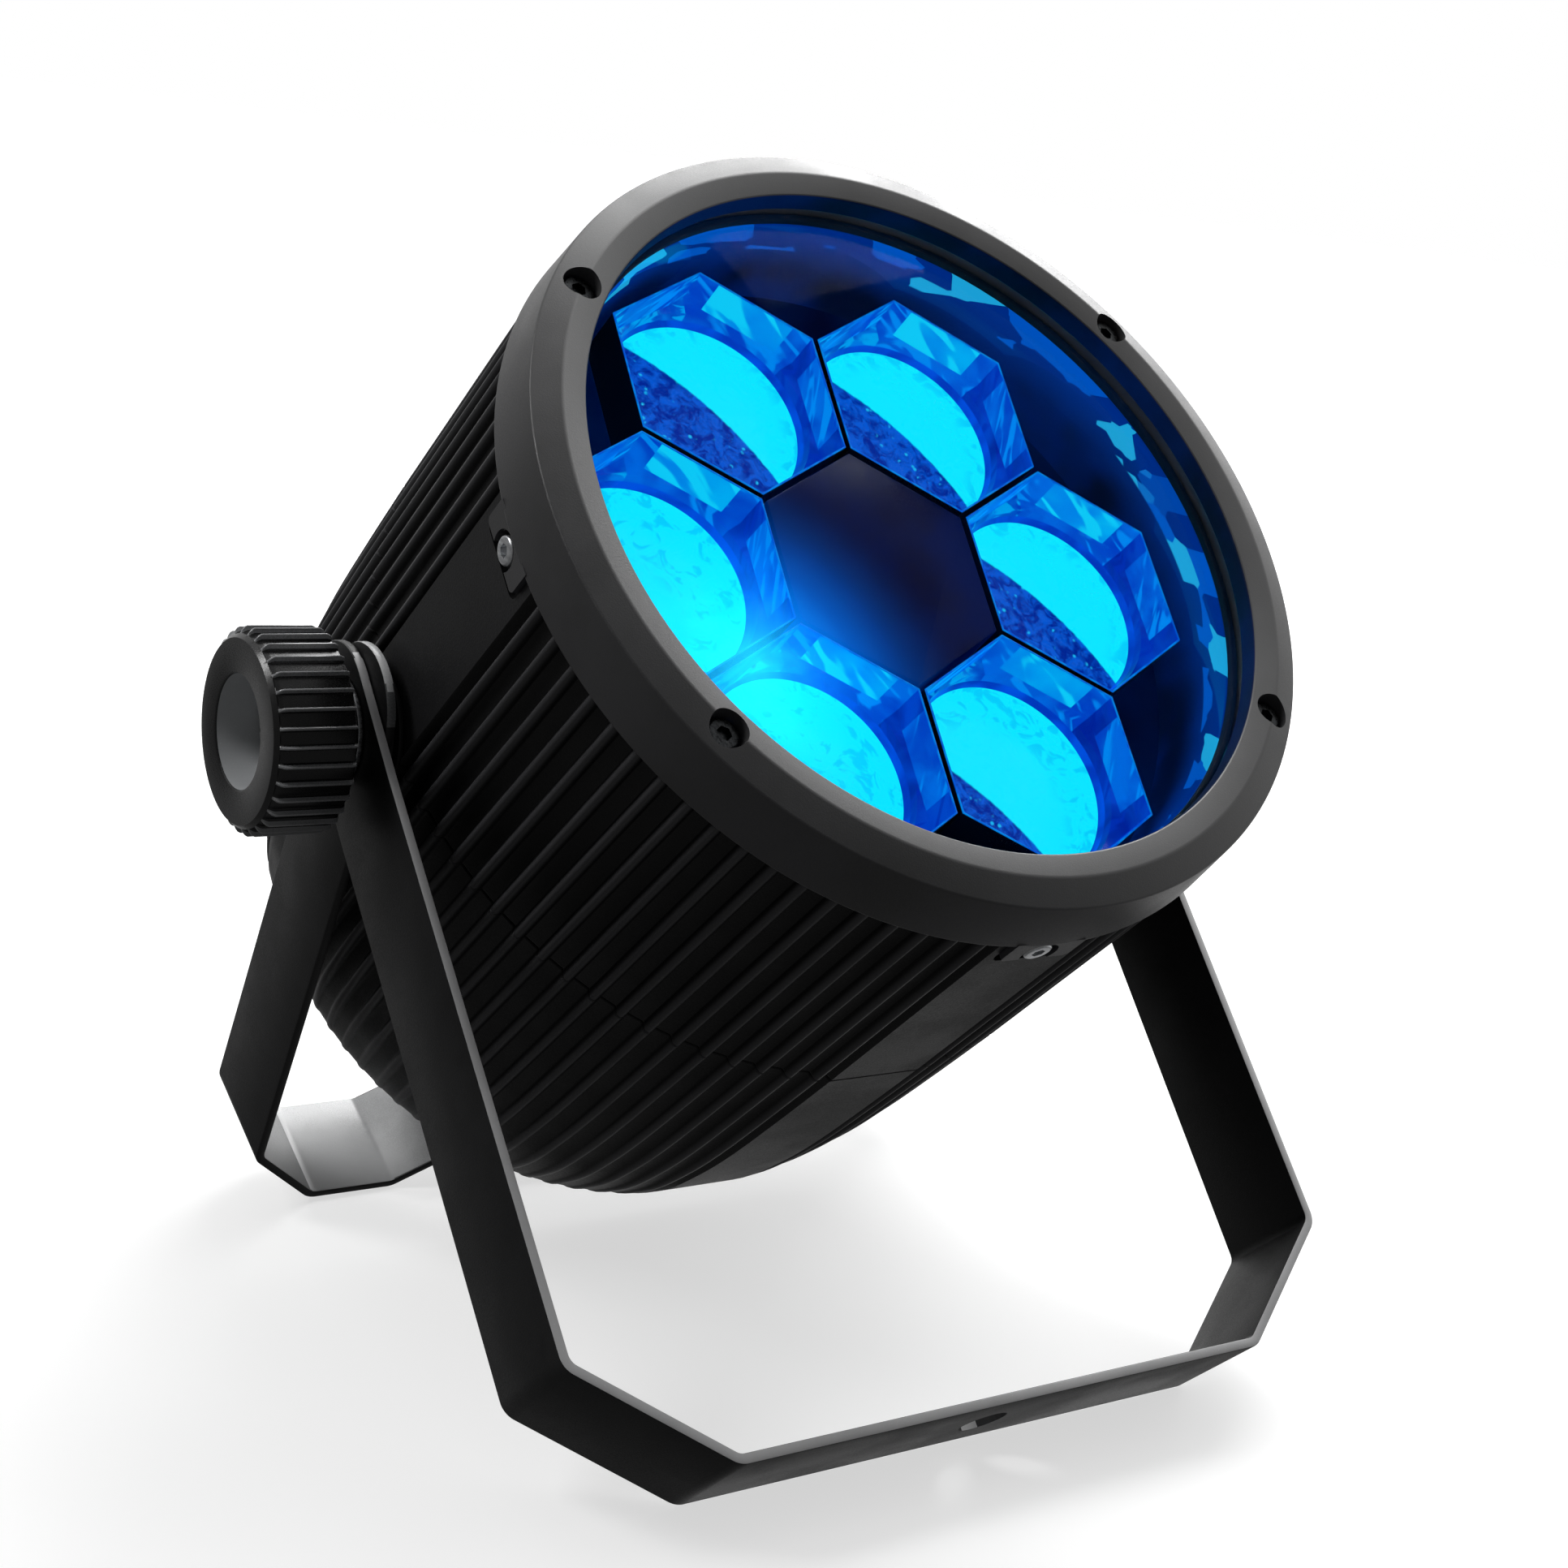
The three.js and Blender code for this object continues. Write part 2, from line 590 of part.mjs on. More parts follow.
function knob() {
  const outside = lofted([
    flutedSection(KNOB_NECK_R, 0, KNOB_Z[0]),
    flutedSection(KNOB_NECK_R, 0, KNOB_Z[0] + 4),
    flutedSection(KNOB_R, KNOB_FLUTE_DEPTH, KNOB_Z[0] + 5),
    flutedSection(KNOB_R, KNOB_FLUTE_DEPTH, KNOB_Z[1] - 2.6),
    flutedSection(KNOB_R - 2.4, 0.2, KNOB_Z[1]),
  ]);
  const [floorR, mouthR, floorZ] = KNOB_RECESS;
  const recess = turned([
    [0, KNOB_Z[0] - 1],
    [PIVOT_HOLE_R, KNOB_Z[0] - 1],
    [PIVOT_HOLE_R, floorZ],
    [floorR, floorZ],
    [mouthR, KNOB_Z[1] + 0.1],
    [mouthR, KNOB_Z[1] + 2],
    [0, KNOB_Z[1] + 2],
  ], 24);
  return outside.subtract(recess);
}

function knobBolt() {
  const under = KNOB_RECESS[2] + GAP;
  const body = turned([
    [0, 96],
    [BOLT_R, 96],
    [BOLT_R, under],
    [BOLT_HEAD_R, under],
    [BOLT_HEAD_R, under + 1.1],
    [BOLT_HEAD_R - 4.1, under + 2.7],
    [0, under + 2.7],
  ], 18);
  return body.subtract(prism(6, 4, 136, 142));
}

function pivotBoss() {
  const top = REAR_ARM_X - STRAP_THICKNESS - GAP;
  return turned([
    [PIVOT_HOLE_R, PAD_X + GAP],
    [BOSS_R[1], PAD_X + GAP],
    [BOSS_R[1], PAD_X + 1.6],
    [BOSS_R[0], PAD_X + 2.2],
    [BOSS_R[0], top],
    [PIVOT_HOLE_R, top],
    [PIVOT_HOLE_R, PAD_X + GAP],
  ], 24);
}

// ---- assembly -----------------------------------------------------------------------------
const parCan = new THREE.Group();
const pivot = new THREE.Group();
pivot.position.set(0, PIVOT_Y, PIVOT_Z);
parCan.add(pivot);

const frontSide = new THREE.Group();
frontSide.rotation.x = -radians(FRONT_LEAN);
const rearSide = new THREE.Group();
rearSide.rotation.x = radians(REAR_LEAN);
const head = new THREE.Group();
head.rotation.x = radians(90 - HEAD_ELEVATION);
pivot.add(frontSide, rearSide, head);

const frontOutline = strapOutline(frontPath, STRAP_THICKNESS, STRAP_BEND);
const rearOutline = strapOutline(rearPath, STRAP_THICKNESS, STRAP_BEND);
placed('front_bracket', frontSide,
  bracket(frontOutline, FRONT_ARM_X, FRONT_DROP, -FRONT_DROP), BRACKET_BLACK);
placed('rear_bracket', rearSide,
  bracket(rearOutline, REAR_ARM_X, REAR_DROP, -REAR_DROP), BRACKET_BLACK);

placed('front_housing', head, frontHousing(), BLACK_CAST);
placed('rear_housing', head, rearHousing(), BLACK_CAST);
placed('front_bezel', head, bezel(), GREY_BEZEL);
BEZEL_SCREW_ANGLES.forEach((angle, i) => {
  const [x, y] = polar(BEZEL_SCREW_R, angle, 0);
  const headLow = COUNTERBORE[1] + GAP;
  const screw = capScrew(4.2, headLow, headLow + 2.9, 1.7, LEDGE_Z + 1, 2).translate([x, y, 0]);
  placed(`bezel_screw_${i + 1}`, head, screw, STEEL);
});
['right', 'top', 'left', 'bottom'].forEach((side, i) => {
  const screw = capScrew(3.7, TAB_FACE_X, TAB_FACE_X + 2.6, 1.6, 105, 1.8).rotate([0, 90, 0]);
  placed(`tab_screw_${side}`, head, screw.translate([0, 0, TAB_SCREW_Z]).rotate([0, 0, i * 90]), STEEL);
});
const seeThrough = { transparent: true, opacity: 0.25 };
placed('front_glass', head, disc(GLASS_R, GLASS_Z[0], GLASS_Z[1], 40), GLASS, seeThrough);
placed('glass_gasket', head, ring(...SHROUD_R, SEAT_Z[0] + 0.4, GLASS_Z[0] - GAP, 32), RUBBER);
placed('inner_shroud', head, ring(...SHROUD_R, HOLDER_Z[1] + GAP, SEAT_Z[0] + 0.1, 40), DARK_PLASTIC);
placed('lens_holder', head, lensHolder(), DARK_PLASTIC);
for (let i = 0; i < 6; i += 1) {
  const [x, y] = cellCentre(i);
  placed(`lens_${i + 1}`, head, lens().translate([x, y, 0]), LENS_PLASTIC);
}
const cap = prism(6, LENS_R, LENS_SHOULDER_Z, LENS_TOP_Z - 0.5, CELL_CLOCK);
placed('centre_cap', head, cap, DARK_PLASTIC);
placed('led_board', head, ledBoard(), ALUMINIUM);
placed('heatsink', head, heatsink(), ALUMINIUM);
placed('fan_frame', head, fanFrame(), DARK_PLASTIC);
placed('fan_rotor', head, fanRotor(), DARK_PLASTIC);
placed('driver_board', head, driverBoard(), BOARD_GREEN);

const back = new THREE.Group();
back.rotation.y = Math.PI;
head.add(back);
placed('rear_panel', back, rearPanel(), BLACK_CAST);
const display = block(...DISPLAY_SIZE, PANEL_Z[1] + GAP, PANEL_Z[1] + 1.4, 0, DISPLAY_Y);
placed('display_window', back, display, DARK_PLASTIC);
['menu', 'down', 'up', 'enter'].forEach((name, i) => {
  placed(`button_${name}`, back, button(BUTTON_X[i]), DARK_PLASTIC);
});
for (const [name, x, y, radius] of CONNECTORS) {
  placed(name, back, connector(x, y, radius), DARK_PLASTIC);
}
placed('fuse_cap', back, fuseCap(), DARK_PLASTIC);
PANEL_SCREW_ANGLES.forEach((angle, i) => {
  const [x, y] = polar(PANEL_SCREW_R, angle, 0);
  const screw = capScrew(3, PANEL_Z[1] + GAP, PANEL_Z[1] + 2.1, 1.4, 107, 1.5).translate([x, y, 0]);
  placed(`panel_screw_${i + 1}`, back, screw, STEEL);
});

for (const [side, turn] of [['left', -90], ['right', 90]]) {
  const clamp = new THREE.Group();
  clamp.rotation.y = radians(turn);
  pivot.add(clamp);
  placed(`pivot_boss_${side}`, clamp, pivotBoss(), BRACKET_BLACK);
  const nut = prism(6, 11, 97, 105.9, 30).subtract(disc(BOLT_R + GAP, 90, 110, 20));
  placed(`pivot_nut_${side}`, clamp, nut, STEEL);
  const washer = ring(PIVOT_HOLE_R, 14, FRONT_ARM_X + GAP, KNOB_Z[0] - GAP, 20);
  placed(`pivot_washer_${side}`, clamp, washer, STEEL);
  placed(`knob_${side}`, clamp, knob(), KNOB_PLASTIC);
  placed(`knob_bolt_${side}`, clamp, knobBolt(), STEEL);
}

export default parCan;
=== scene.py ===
"""Looks of the par can light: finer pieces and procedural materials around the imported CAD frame."""
import json
import math

import bmesh
import bpy
from mathutils import Matrix, Vector


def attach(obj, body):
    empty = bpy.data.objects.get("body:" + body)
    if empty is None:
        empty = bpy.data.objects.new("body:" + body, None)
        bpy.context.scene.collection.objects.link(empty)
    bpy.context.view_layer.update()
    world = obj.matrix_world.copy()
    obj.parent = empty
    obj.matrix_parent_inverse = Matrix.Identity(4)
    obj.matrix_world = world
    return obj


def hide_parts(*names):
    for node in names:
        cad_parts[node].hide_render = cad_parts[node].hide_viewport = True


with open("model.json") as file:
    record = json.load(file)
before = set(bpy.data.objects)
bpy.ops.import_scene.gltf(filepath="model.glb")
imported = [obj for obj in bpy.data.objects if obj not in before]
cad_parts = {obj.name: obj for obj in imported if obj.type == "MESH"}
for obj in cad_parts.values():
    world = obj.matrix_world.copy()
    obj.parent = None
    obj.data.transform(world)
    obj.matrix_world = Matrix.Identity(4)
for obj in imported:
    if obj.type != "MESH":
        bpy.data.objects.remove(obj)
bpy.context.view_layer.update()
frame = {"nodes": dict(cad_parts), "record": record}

MM = 0.001

# ---- the object's own dimensions, in millimetres, as in the CAD model ----
HEAD_ELEVATION, FRONT_LEAN, REAR_LEAN = 44, 45, 24.5
STRAP_WIDTH, STRAP_THICKNESS, STRAP_BEND, STRAP_TOP = 34, 2.6, 5, 6.6
FRONT_ARM_X, FRONT_LOW_X, FRONT_DROP, FRONT_CORNER = 121.5, 119, 204.7, (37.8, 30.1)
REAR_ARM_X, REAR_LOW_X, REAR_CORNER, REAR_FOOT, REAR_RISE = 118.6, 116.6, (21.6, 20.5), 26, (13, 7.5)
CLAMP_ZONE, PIVOT_HOLE_R, CLAMP_HOLE_R = 24, 5.4, 6.5
RIB_TOP_R, RIB_HEIGHT, RIBS, RIB_FIRST, RIB_PITCH = 113, 2.4, 18, 9.4, 4.19
PAD_X, PAD_HALF, PAD_FOOT = 112, 14, 7.9
SEAM_Z, SEAM_GAP, SEAM_EASE, HOUSING_FRONT_Z = 6.3, 0.3, 0.35, 88.3
BEZEL_R, BEZEL_EDGE, BEZEL_RIDGE, BEZEL_LIP_Z = 113, (111.3, 106), (104.1, 108.5), 107.3
BEZEL_BACK_R, BEZEL_BACK_Z, OPENING_R, SEAT_R, SEAT_Z = 100.6, 88.6, 97.4, 99.3, (94.8, 101.8)
BEZEL_SCREW_R, BEZEL_SCREW_ANGLES, COUNTERBORE = 104.2, (36, 144, 216, 324), (4.9, 102)
TAB_SCREW_Z, TAB_FACE_X = 83.8, 109.9
GLASS_R, GLASS_Z = 98.7, (98, 101.5)
SHROUD_R, SHROUD_Z, GASKET_Z = (97.2, 98.9), (63.9, 94.9), (95.2, 97.7)
HOLDER_R, HOLDER_Z, HOLDER_HOLE_R = 106.3, (60, 63.6), 27.5
CELL_R, LENS_R, CELL_CLOCK, LENS_TOP_Z, WELL_FLOOR_Z = 36.2, 35.3, -33.5, 79.7, 64.0
BOWL_R, BOWL_FLOOR_RISE, LENS_WALL = 28.5, 1.6, 0.55
KNOB_R, KNOB_RIDGES, KNOB_Z = 26.4, 34, (123.6, 149.6)
PANEL_SCREW_R, PANEL_SCREW_ANGLES, BUTTON_Y, FUSE_Y = 75.5, (45, 135, 225, 315), 11, -44

STRAP_HALF = STRAP_WIDTH / 2
FRONT_TILT, REAR_TILT = math.radians(FRONT_LEAN), math.radians(REAR_LEAN)
PIVOT_Z = FRONT_DROP * math.cos(FRONT_TILT) + STRAP_HALF * math.sin(FRONT_TILT)
REAR_DROP = (PIVOT_Z - STRAP_HALF * math.sin(REAR_TILT)) / math.cos(REAR_TILT)
PIVOT = Matrix.Translation((0, 3, PIVOT_Z))


def turned_by(degrees, axis):
    return Matrix.Rotation(math.radians(degrees), 4, axis)


HEAD = PIVOT @ turned_by(90 - HEAD_ELEVATION, "X")
FRONT = PIVOT @ turned_by(-FRONT_LEAN, "X")
REAR = PIVOT @ turned_by(REAR_LEAN, "X")
BACK = HEAD @ turned_by(180, "Y")
CLAMPS = {"left": PIVOT @ turned_by(-90, "Y"), "right": PIVOT @ turned_by(90, "Y")}


def polar(radius, degrees, z=0.0):
    a = math.radians(degrees)
    return Vector((radius * math.cos(a), radius * math.sin(a), z))


# The place on the cover glass, in metres, round which a glare of stray lamp light is painted.
HOT_SPOT = HEAD @ Vector((-66, -41, 101.5)) * MM


# ---- materials ----
class Nodes:
    """A small helper that adds linked nodes to one material or world."""

    def __init__(self, material):
        self.tree = material.node_tree
        self.place = self.add("ShaderNodeTexCoord").outputs["Object"]

    def add(self, kind, inputs=None, **settings):
        node = self.tree.nodes.new(kind)
        for key, value in settings.items():
            setattr(node, key, value)
        for key, value in (inputs or {}).items():
            self.put(node.inputs[key], value)
        return node

    def put(self, socket, value):
        if isinstance(value, bpy.types.NodeSocket):
            self.tree.links.new(value, socket)
        else:
            socket.default_value = value

    def shade(self, name, value):
        """Sets or links one input of the material's shader."""
        self.put(self.tree.nodes["Principled BSDF"].inputs[name], value)

    def cell_place(self):
        """The two numbers that a piece carries in its cell_uv, and the socket they come from."""
        source = self.add("ShaderNodeUVMap", uv_map="cell").outputs[0]
        parts = self.add("ShaderNodeSeparateXYZ", {"Vector": source}).outputs
        return parts[0], parts[1], source

    def noise(self, scale, detail=4.0, rough=0.55, where=None, distortion=0.0):
        spots = {"Vector": where or self.place, "Scale": scale, "Detail": detail,
                 "Roughness": rough, "Distortion": distortion}
        return self.add("ShaderNodeTexNoise", spots).outputs["Fac"]

    def ramp(self, value, low, high, to_low=0.0, to_high=1.0):
        spots = {"Value": value, "From Min": low, "From Max": high, "To Min": to_low, "To Max": to_high}
        return self.add("ShaderNodeMapRange", spots, interpolation_type="SMOOTHSTEP").outputs["Result"]

    def near(self, point, reach, core):
        """1 within core metres of a point, 0 from reach metres on."""
        away = self.add("ShaderNodeVectorMath", {0: self.place, 1: point}, operation="DISTANCE")
        return self.ramp(away.outputs["Value"], core, reach, 1.0, 0.0)

    def math(self, operation, a, b=0.0, c=0.0):
        node = self.add("ShaderNodeMath", operation=operation)
        for socket, value in zip(node.inputs, (a, b, c)):
            self.put(socket, value)
        return node.outputs[0]

    def mix(self, factor, a, b):
        node = self.add("ShaderNodeMix", data_type="RGBA")
        self.put(node.inputs[0], factor)
        self.put(node.inputs[6], a)
        self.put(node.inputs[7], b)
        return node.outputs[2]


def colour(hexadecimal):
    parts = [int(hexadecimal[i:i + 2], 16) / 255 for i in (0, 2, 4)]
    linear = [c / 12.92 if c <= 0.04045 else ((c + 0.055) / 1.055) ** 2.4 for c in parts]
    return (*linear, 1.0)


def blank(name):
    material = bpy.data.materials.new(name)
    material.use_nodes = True
    return material, Nodes(material)


def surface(name, dark, light, roughness, specular=0.5, grain=0.25, grain_scale=2600,
            wear=None, wear_amount=0.0, coat=0.0, glow=None, painted_glare=None, crest=None):
    """Painted, cast or moulded finish: blotches of colour, fine grain and uneven gloss.

    wear lightens the edges; crest paints a highlight on the rib tops; glow paints a faint light of the
    lamps onto the part, with a painted glare of more of it round HOT_SPOT.
    """
    material, n = blank(name)
    dark, light = colour(dark), colour(light)
    blotch = n.ramp(n.noise(26, 5), 0.32, 0.68)
    fine = n.noise(grain_scale, 3, 0.6)
    tone = n.mix(blotch, dark, light)
    glint = tuple(min(1.0, c * 1.9) for c in light[:3]) + (1,)
    tone = n.mix(n.ramp(fine, 0.62, 0.8, 0, 0.35), tone, glint)
    if crest:
        # painted highlight: the rib tops lighter, by their rib height in cell_uv
        tone = n.mix(n.ramp(n.cell_place()[0], 0.25, 0.95), tone, colour(crest))
    if wear:
        edge = n.add("ShaderNodeNewGeometry").outputs["Pointiness"]
        rubbed = n.ramp(edge, 0.53, 0.6, 0, wear_amount)
        patchy = n.math("MULTIPLY", rubbed, n.ramp(n.noise(90, 4), 0.35, 0.6, 0.25, 1.0))
        tone = n.mix(patchy, tone, colour(wear))
    n.shade("Base Color", tone)
    gloss = n.math("ADD", n.ramp(blotch, 0, 1, -0.05, 0.05), n.ramp(fine, 0.3, 0.7, -0.05, 0.05))
    n.shade("Roughness", n.math("ADD", gloss, roughness))
    # painted light: a faint glow of the lamps, with a painted glare round HOT_SPOT
    if glow:
        light_out = n.mix(blotch, colour(glow[0]), colour(glow[1]))
        if painted_glare:
            light_out = n.mix(n.near(HOT_SPOT, painted_glare[1], painted_glare[2]), light_out, colour(painted_glare[0]))
        n.shade("Emission Color", light_out)
        n.shade("Emission Strength", 1.0)
    n.shade("Specular IOR Level", specular)
    n.shade("Coat Weight", coat)
    n.shade("Coat Roughness", 0.12)
    bump = n.add("ShaderNodeBump", {"Height": fine, "Strength": grain, "Distance": 0.00012})
    n.shade("Normal", bump.outputs["Normal"])
    return material


def brushed(name, dark, light, roughness, scratch_scale=1400):
    """Bare turned or plated metal with fine scratches."""
    material, n = blank(name)
    dark, light = colour(dark), colour(light)
    stretched = n.add("ShaderNodeMapping", {"Vector": n.place, "Scale": (1, 0.12, 1)}).outputs[0]
    scratch = n.noise(scratch_scale, 5, 0.7, where=stretched)
    blotch = n.ramp(n.noise(60, 4), 0.35, 0.65)
    tone = n.mix(n.ramp(scratch, 0.3, 0.7), dark, light)
    n.shade("Base Color", n.mix(n.math("MULTIPLY", blotch, 0.35), tone, dark))
    n.shade("Roughness", n.ramp(scratch, 0.25, 0.75, roughness - 0.08, roughness + 0.1))
    n.shade("Metallic", 1.0)
    bump = n.add("ShaderNodeBump", {"Height": scratch, "Strength": 0.2, "Distance": 0.00005})
    n.shade("Normal", bump.outputs["Normal"])
    return material


def lit(name, tones, strength, scale):
    """Clear plastic with blue light in it: mottled glow between two tones, streaked with a third."""
    material, n = blank(name)
    drift = n.noise(scale, 3, 0.5, distortion=0.6)
    glow = n.mix(n.ramp(drift, 0.36, 0.64), colour(tones[0]), colour(tones[1]))
    if len(tones) > 2:
        streak = n.add("ShaderNodeMapping", {"Vector": n.place, "Rotation": (0.5, 0.9, 0.3),
                                             "Scale": (1, 5, 1)})
        bands = n.noise(scale * 0.9, 2, 0.4, where=streak.outputs[0], distortion=1.0)
        glow = n.mix(n.ramp(bands, 0.52, 0.6), glow, colour(tones[2]))
    n.shade("Base Color", colour("000814"))
    n.shade("Emission Color", glow)
    n.shade("Emission Strength", strength)
    n.shade("Roughness", n.ramp(drift, 0.3, 0.7, 0.14, 0.26))
    n.shade("Specular IOR Level", 0.06)
    return material


def well_floor(name):
    """The floor of a collimator: one side of its chord is the lit dome, the other the lamp board."""
    material, n = blank(name)
    past, beside, source = n.cell_place()
    bowed = n.math("MULTIPLY_ADD", n.math("MULTIPLY", beside, beside), 0.12, past)
    ragged = n.math("MULTIPLY", n.math("SUBTRACT", n.noise(500, 3), 0.5), 0.02)
    side = n.ramp(n.math("ADD", bowed, ragged), -0.012, 0.012)
    drift = n.noise(150, 4, 0.6, distortion=1.2)
    away = n.add("ShaderNodeVectorMath", {0: source}, operation="LENGTH").outputs["Value"]
    rim = n.ramp(away, 0.56, 0.78)
    streaks = n.math("MULTIPLY", n.ramp(drift, 0.52, 0.6), rim)
    bright = n.mix(n.math("MULTIPLY", streaks, 0.5), colour("0ce6ff"), colour("00b0f4"))
    mottle = n.ramp(n.noise(260, 4, 0.65, distortion=0.8), 0.38, 0.62)
    board = n.mix(mottle, colour("0028a0"), colour("0660e4"))
    dots = n.add("ShaderNodeTexVoronoi", {"Vector": n.place, "Scale": 380}, feature="F1")
    round_dot = n.ramp(dots.outputs["Distance"], 0.1, 0.3, 1, 0)
    spot = n.math("MULTIPLY", round_dot, n.ramp(n.noise(240, 2), 0.5, 0.58))
    board = n.mix(spot, board, colour("1cc4ff"))
    n.shade("Emission Color", n.mix(side, board, bright))
    n.shade("Emission Strength", n.ramp(side, 0, 1, 0.8, 1.0))
    n.shade("Base Color", colour("000818"))
    n.shade("Roughness", n.ramp(drift, 0.3, 0.7, 0.2, 0.4))
    n.shade("Specular IOR Level", 0.05)
    return material


def cover_glass(name):
    """Clear pane, slightly smeared, with a painted soft blue glare of lamp light round HOT_SPOT."""
    material, n = blank(name)
    n.shade("Base Color", (0.97, 0.99, 1, 1))
    n.shade("Transmission Weight", 1.0)
    n.shade("IOR", 1.03)
    smear = n.noise(35, 5, 0.6, distortion=0.4)
    n.shade("Roughness", n.ramp(smear, 0.45, 0.75, 0.0, 0.025))
    # painted glare: blue emission fading away from HOT_SPOT
    core = n.math("POWER", n.near(HOT_SPOT, 0.05, 0.0), 1.5)
    painted_glare_mask = n.math("MULTIPLY", core, n.ramp(n.noise(45, 4, 0.5, distortion=0.8), 0.25, 0.7, 0.55, 1.0))
    n.shade("Emission Color", n.mix(painted_glare_mask, colour("0070ff"), colour("20ccff")))
    n.shade("Emission Strength", n.math("MULTIPLY", painted_glare_mask, 0.55))
    return material


def glossy_liner(name):
    """The polished wall round the lenses: a painted deep blue glow of lamp light, with crisp painted
    slanted reflections of the lens walls.
    """
    material, n = blank(name)
    depth = n.cell_place()[1]
    at = n.add("ShaderNodeSeparateXYZ", {"Vector": n.place}).outputs
    sideways = n.math("MULTIPLY_ADD", depth, 1.1, n.math("MULTIPLY", at[0], 75))
    slanted = n.add("ShaderNodeCombineXYZ", {"X": sideways, "Y": n.math("MULTIPLY", at[2], 104),
                                             "Z": n.math("MULTIPLY", depth, 3.4)}).outputs[0]
    painted_reflection_tiles = n.add("ShaderNodeTexVoronoi", {"Vector": slanted, "Scale": 1.0, "Randomness": 0.5},
                  feature="F1", distance="CHEBYCHEV")
    pick = n.add("ShaderNodeSeparateColor", {"Color": painted_reflection_tiles.outputs["Color"]})
    rim = n.ramp(depth, 0.66, 0.68)
    deep = n.mix(n.ramp(n.noise(22, 3), 0.4, 0.6), colour("000828"), colour("001a5c"))
    deep = n.mix(n.ramp(depth, 0.3, 0.9), deep, colour("00308c"))
    # painted reflections: one row of blue and cyan tiles near the front edge
    blue = n.mix(n.math("MULTIPLY", n.ramp(pick.outputs[0], 0.7, 0.71), rim), deep, colour("005cd0"))
    cyan = n.mix(n.math("MULTIPLY", n.ramp(pick.outputs[1], 0.82, 0.83), rim), blue, colour("20b4ee"))
    n.shade("Emission Color", cyan)
    n.shade("Emission Strength", 0.75)
    n.shade("Base Color", n.mix(n.noise(60, 3), colour("081428"), colour("0c2040")))
    n.shade("Roughness", n.ramp(n.noise(200, 3), 0.3, 0.7, 0.04, 0.1))
    n.shade("Metallic", 1.0)
    return material


def circuit_board(name):
    """Green board with a net of paler tracks."""
    material, n = blank(name)
    cells = n.add("ShaderNodeTexVoronoi", {"Vector": n.place, "Scale": 240}, feature="DISTANCE_TO_EDGE")
    tracks = n.ramp(cells.outputs["Distance"], 0.03, 0.07, 1, 0)
    n.shade("Base Color", n.mix(tracks, colour("12351f"), colour("2f6a3c")))
    n.shade("Roughness", n.ramp(tracks, 0, 1, 0.55, 0.35))
    bump = n.add("ShaderNodeBump", {"Height": tracks, "Strength": 0.5, "Distance": 0.0001})
    n.shade("Normal", bump.outputs["Normal"])
    return material


PAINT = surface("bracket_paint", "0d0d0e", "151516", 0.45, specular=0.3, grain=0.35,
                wear="77787a", wear_amount=0.3)
# painted highlight: pale paint on the front bracket's side edges and on the rib tops at the housing seam
EDGE_HIGHLIGHT = surface("edge_painted_highlight", "a4a4a5", "bababb", 0.4, specular=0.6, grain=0.35)
# painted reflection: pale paint on the rear bracket's faces that face up, a middle tone where they slope
FOOT_REFLECTION = surface("bracket_foot_painted_reflection", "b4b5b6", "cccdce", 0.3, specular=0.6, grain=0.3)
BEND_REFLECTION = surface("bracket_bend_painted_reflection", "58595a", "6a6b6c", 0.3, specular=0.5, grain=0.3)
# crest paints a highlight on the casting's rib tops
CAST = surface("housing_cast", "0a0a0b", "101011", 0.5, specular=0.24, grain=0.4,
               grain_scale=1900, crest="3e3e40")
PANEL = surface("panel_cast", "111213", "191a1b", 0.5, specular=0.35, grain=0.4)
# painted glare: blue lamp light on the bezel by HOT_SPOT; its glow is all but black
BEZEL = surface("bezel_paint", "353536", "3f3f40", 0.45, specular=0.5, grain=0.25,
                wear="6f7072", wear_amount=0.12, glow=("000000", "000001"), painted_glare=("183c80", 0.023, 0.014))
# painted glow: faint blue lamp light on the dark wall of the opening
WALL_BLACK = surface("bezel_wall_painted_glow", "020206", "04060e", 0.6, specular=0.1, grain=0.2,
                     glow=("000618", "001440"))
SCREW = brushed("screw_steel", "c0c2c5", "eceef0", 0.36)
SCREW_DARK = brushed("screw_black", "1c1d1e", "46484a", 0.3)
PLATE = brushed("clamp_steel", "8a8c8f", "d2d4d6", 0.28, scratch_scale=900)
# painted glow: faint blue lamp light on the gasket
RUBBER = surface("gasket_rubber", "0a0a0a", "121212", 0.85, specular=0.2, grain=0.4,
                 glow=("00040e", "000c24"))
GLASS = cover_glass("cover_glass")
SHROUD = glossy_liner("shroud_gloss")
# painted glow: blue lamp light on the lens plate, with a painted glare by HOT_SPOT
HOLDER = surface("holder_black", "000008", "000210", 0.5, specular=0.04, grain=0.2,
                 glow=("000018", "000c34"), painted_glare=("0048b0", 0.06, 0.02))
# painted glow: blue lamp light on the blank cell, with a painted glare by HOT_SPOT
CAP = surface("cap_gloss", "000316", "000622", 0.35, specular=0.04, grain=0.1,
              glow=("000020", "000a3c"), painted_glare=("0058c8", 0.085, 0.03))
FLOOR_LIT = well_floor("lens_clear")
RING_LIT = lit("lens_ring", ("0034c0", "0050e6"), 0.9, 90)
WALL_A = lit("lens_wall_a", ("0086ee", "00b0f8", "0cd0ff"), 0.9, 40)
WALL_B = lit("lens_wall_b", ("0040c8", "0068e4", "0088f2"), 0.9, 60)
WALL_C = lit("lens_wall_c", ("0022a0", "0044d0", "0030bc"), 0.85, 60)
WALL_M = lit("lens_wall_m", ("0040c8", "0078ea", "00a4f6"), 0.85, 120)
EDGE_LIT = lit("lens_edge", ("0058dc", "0088f0"), 0.8, 200)
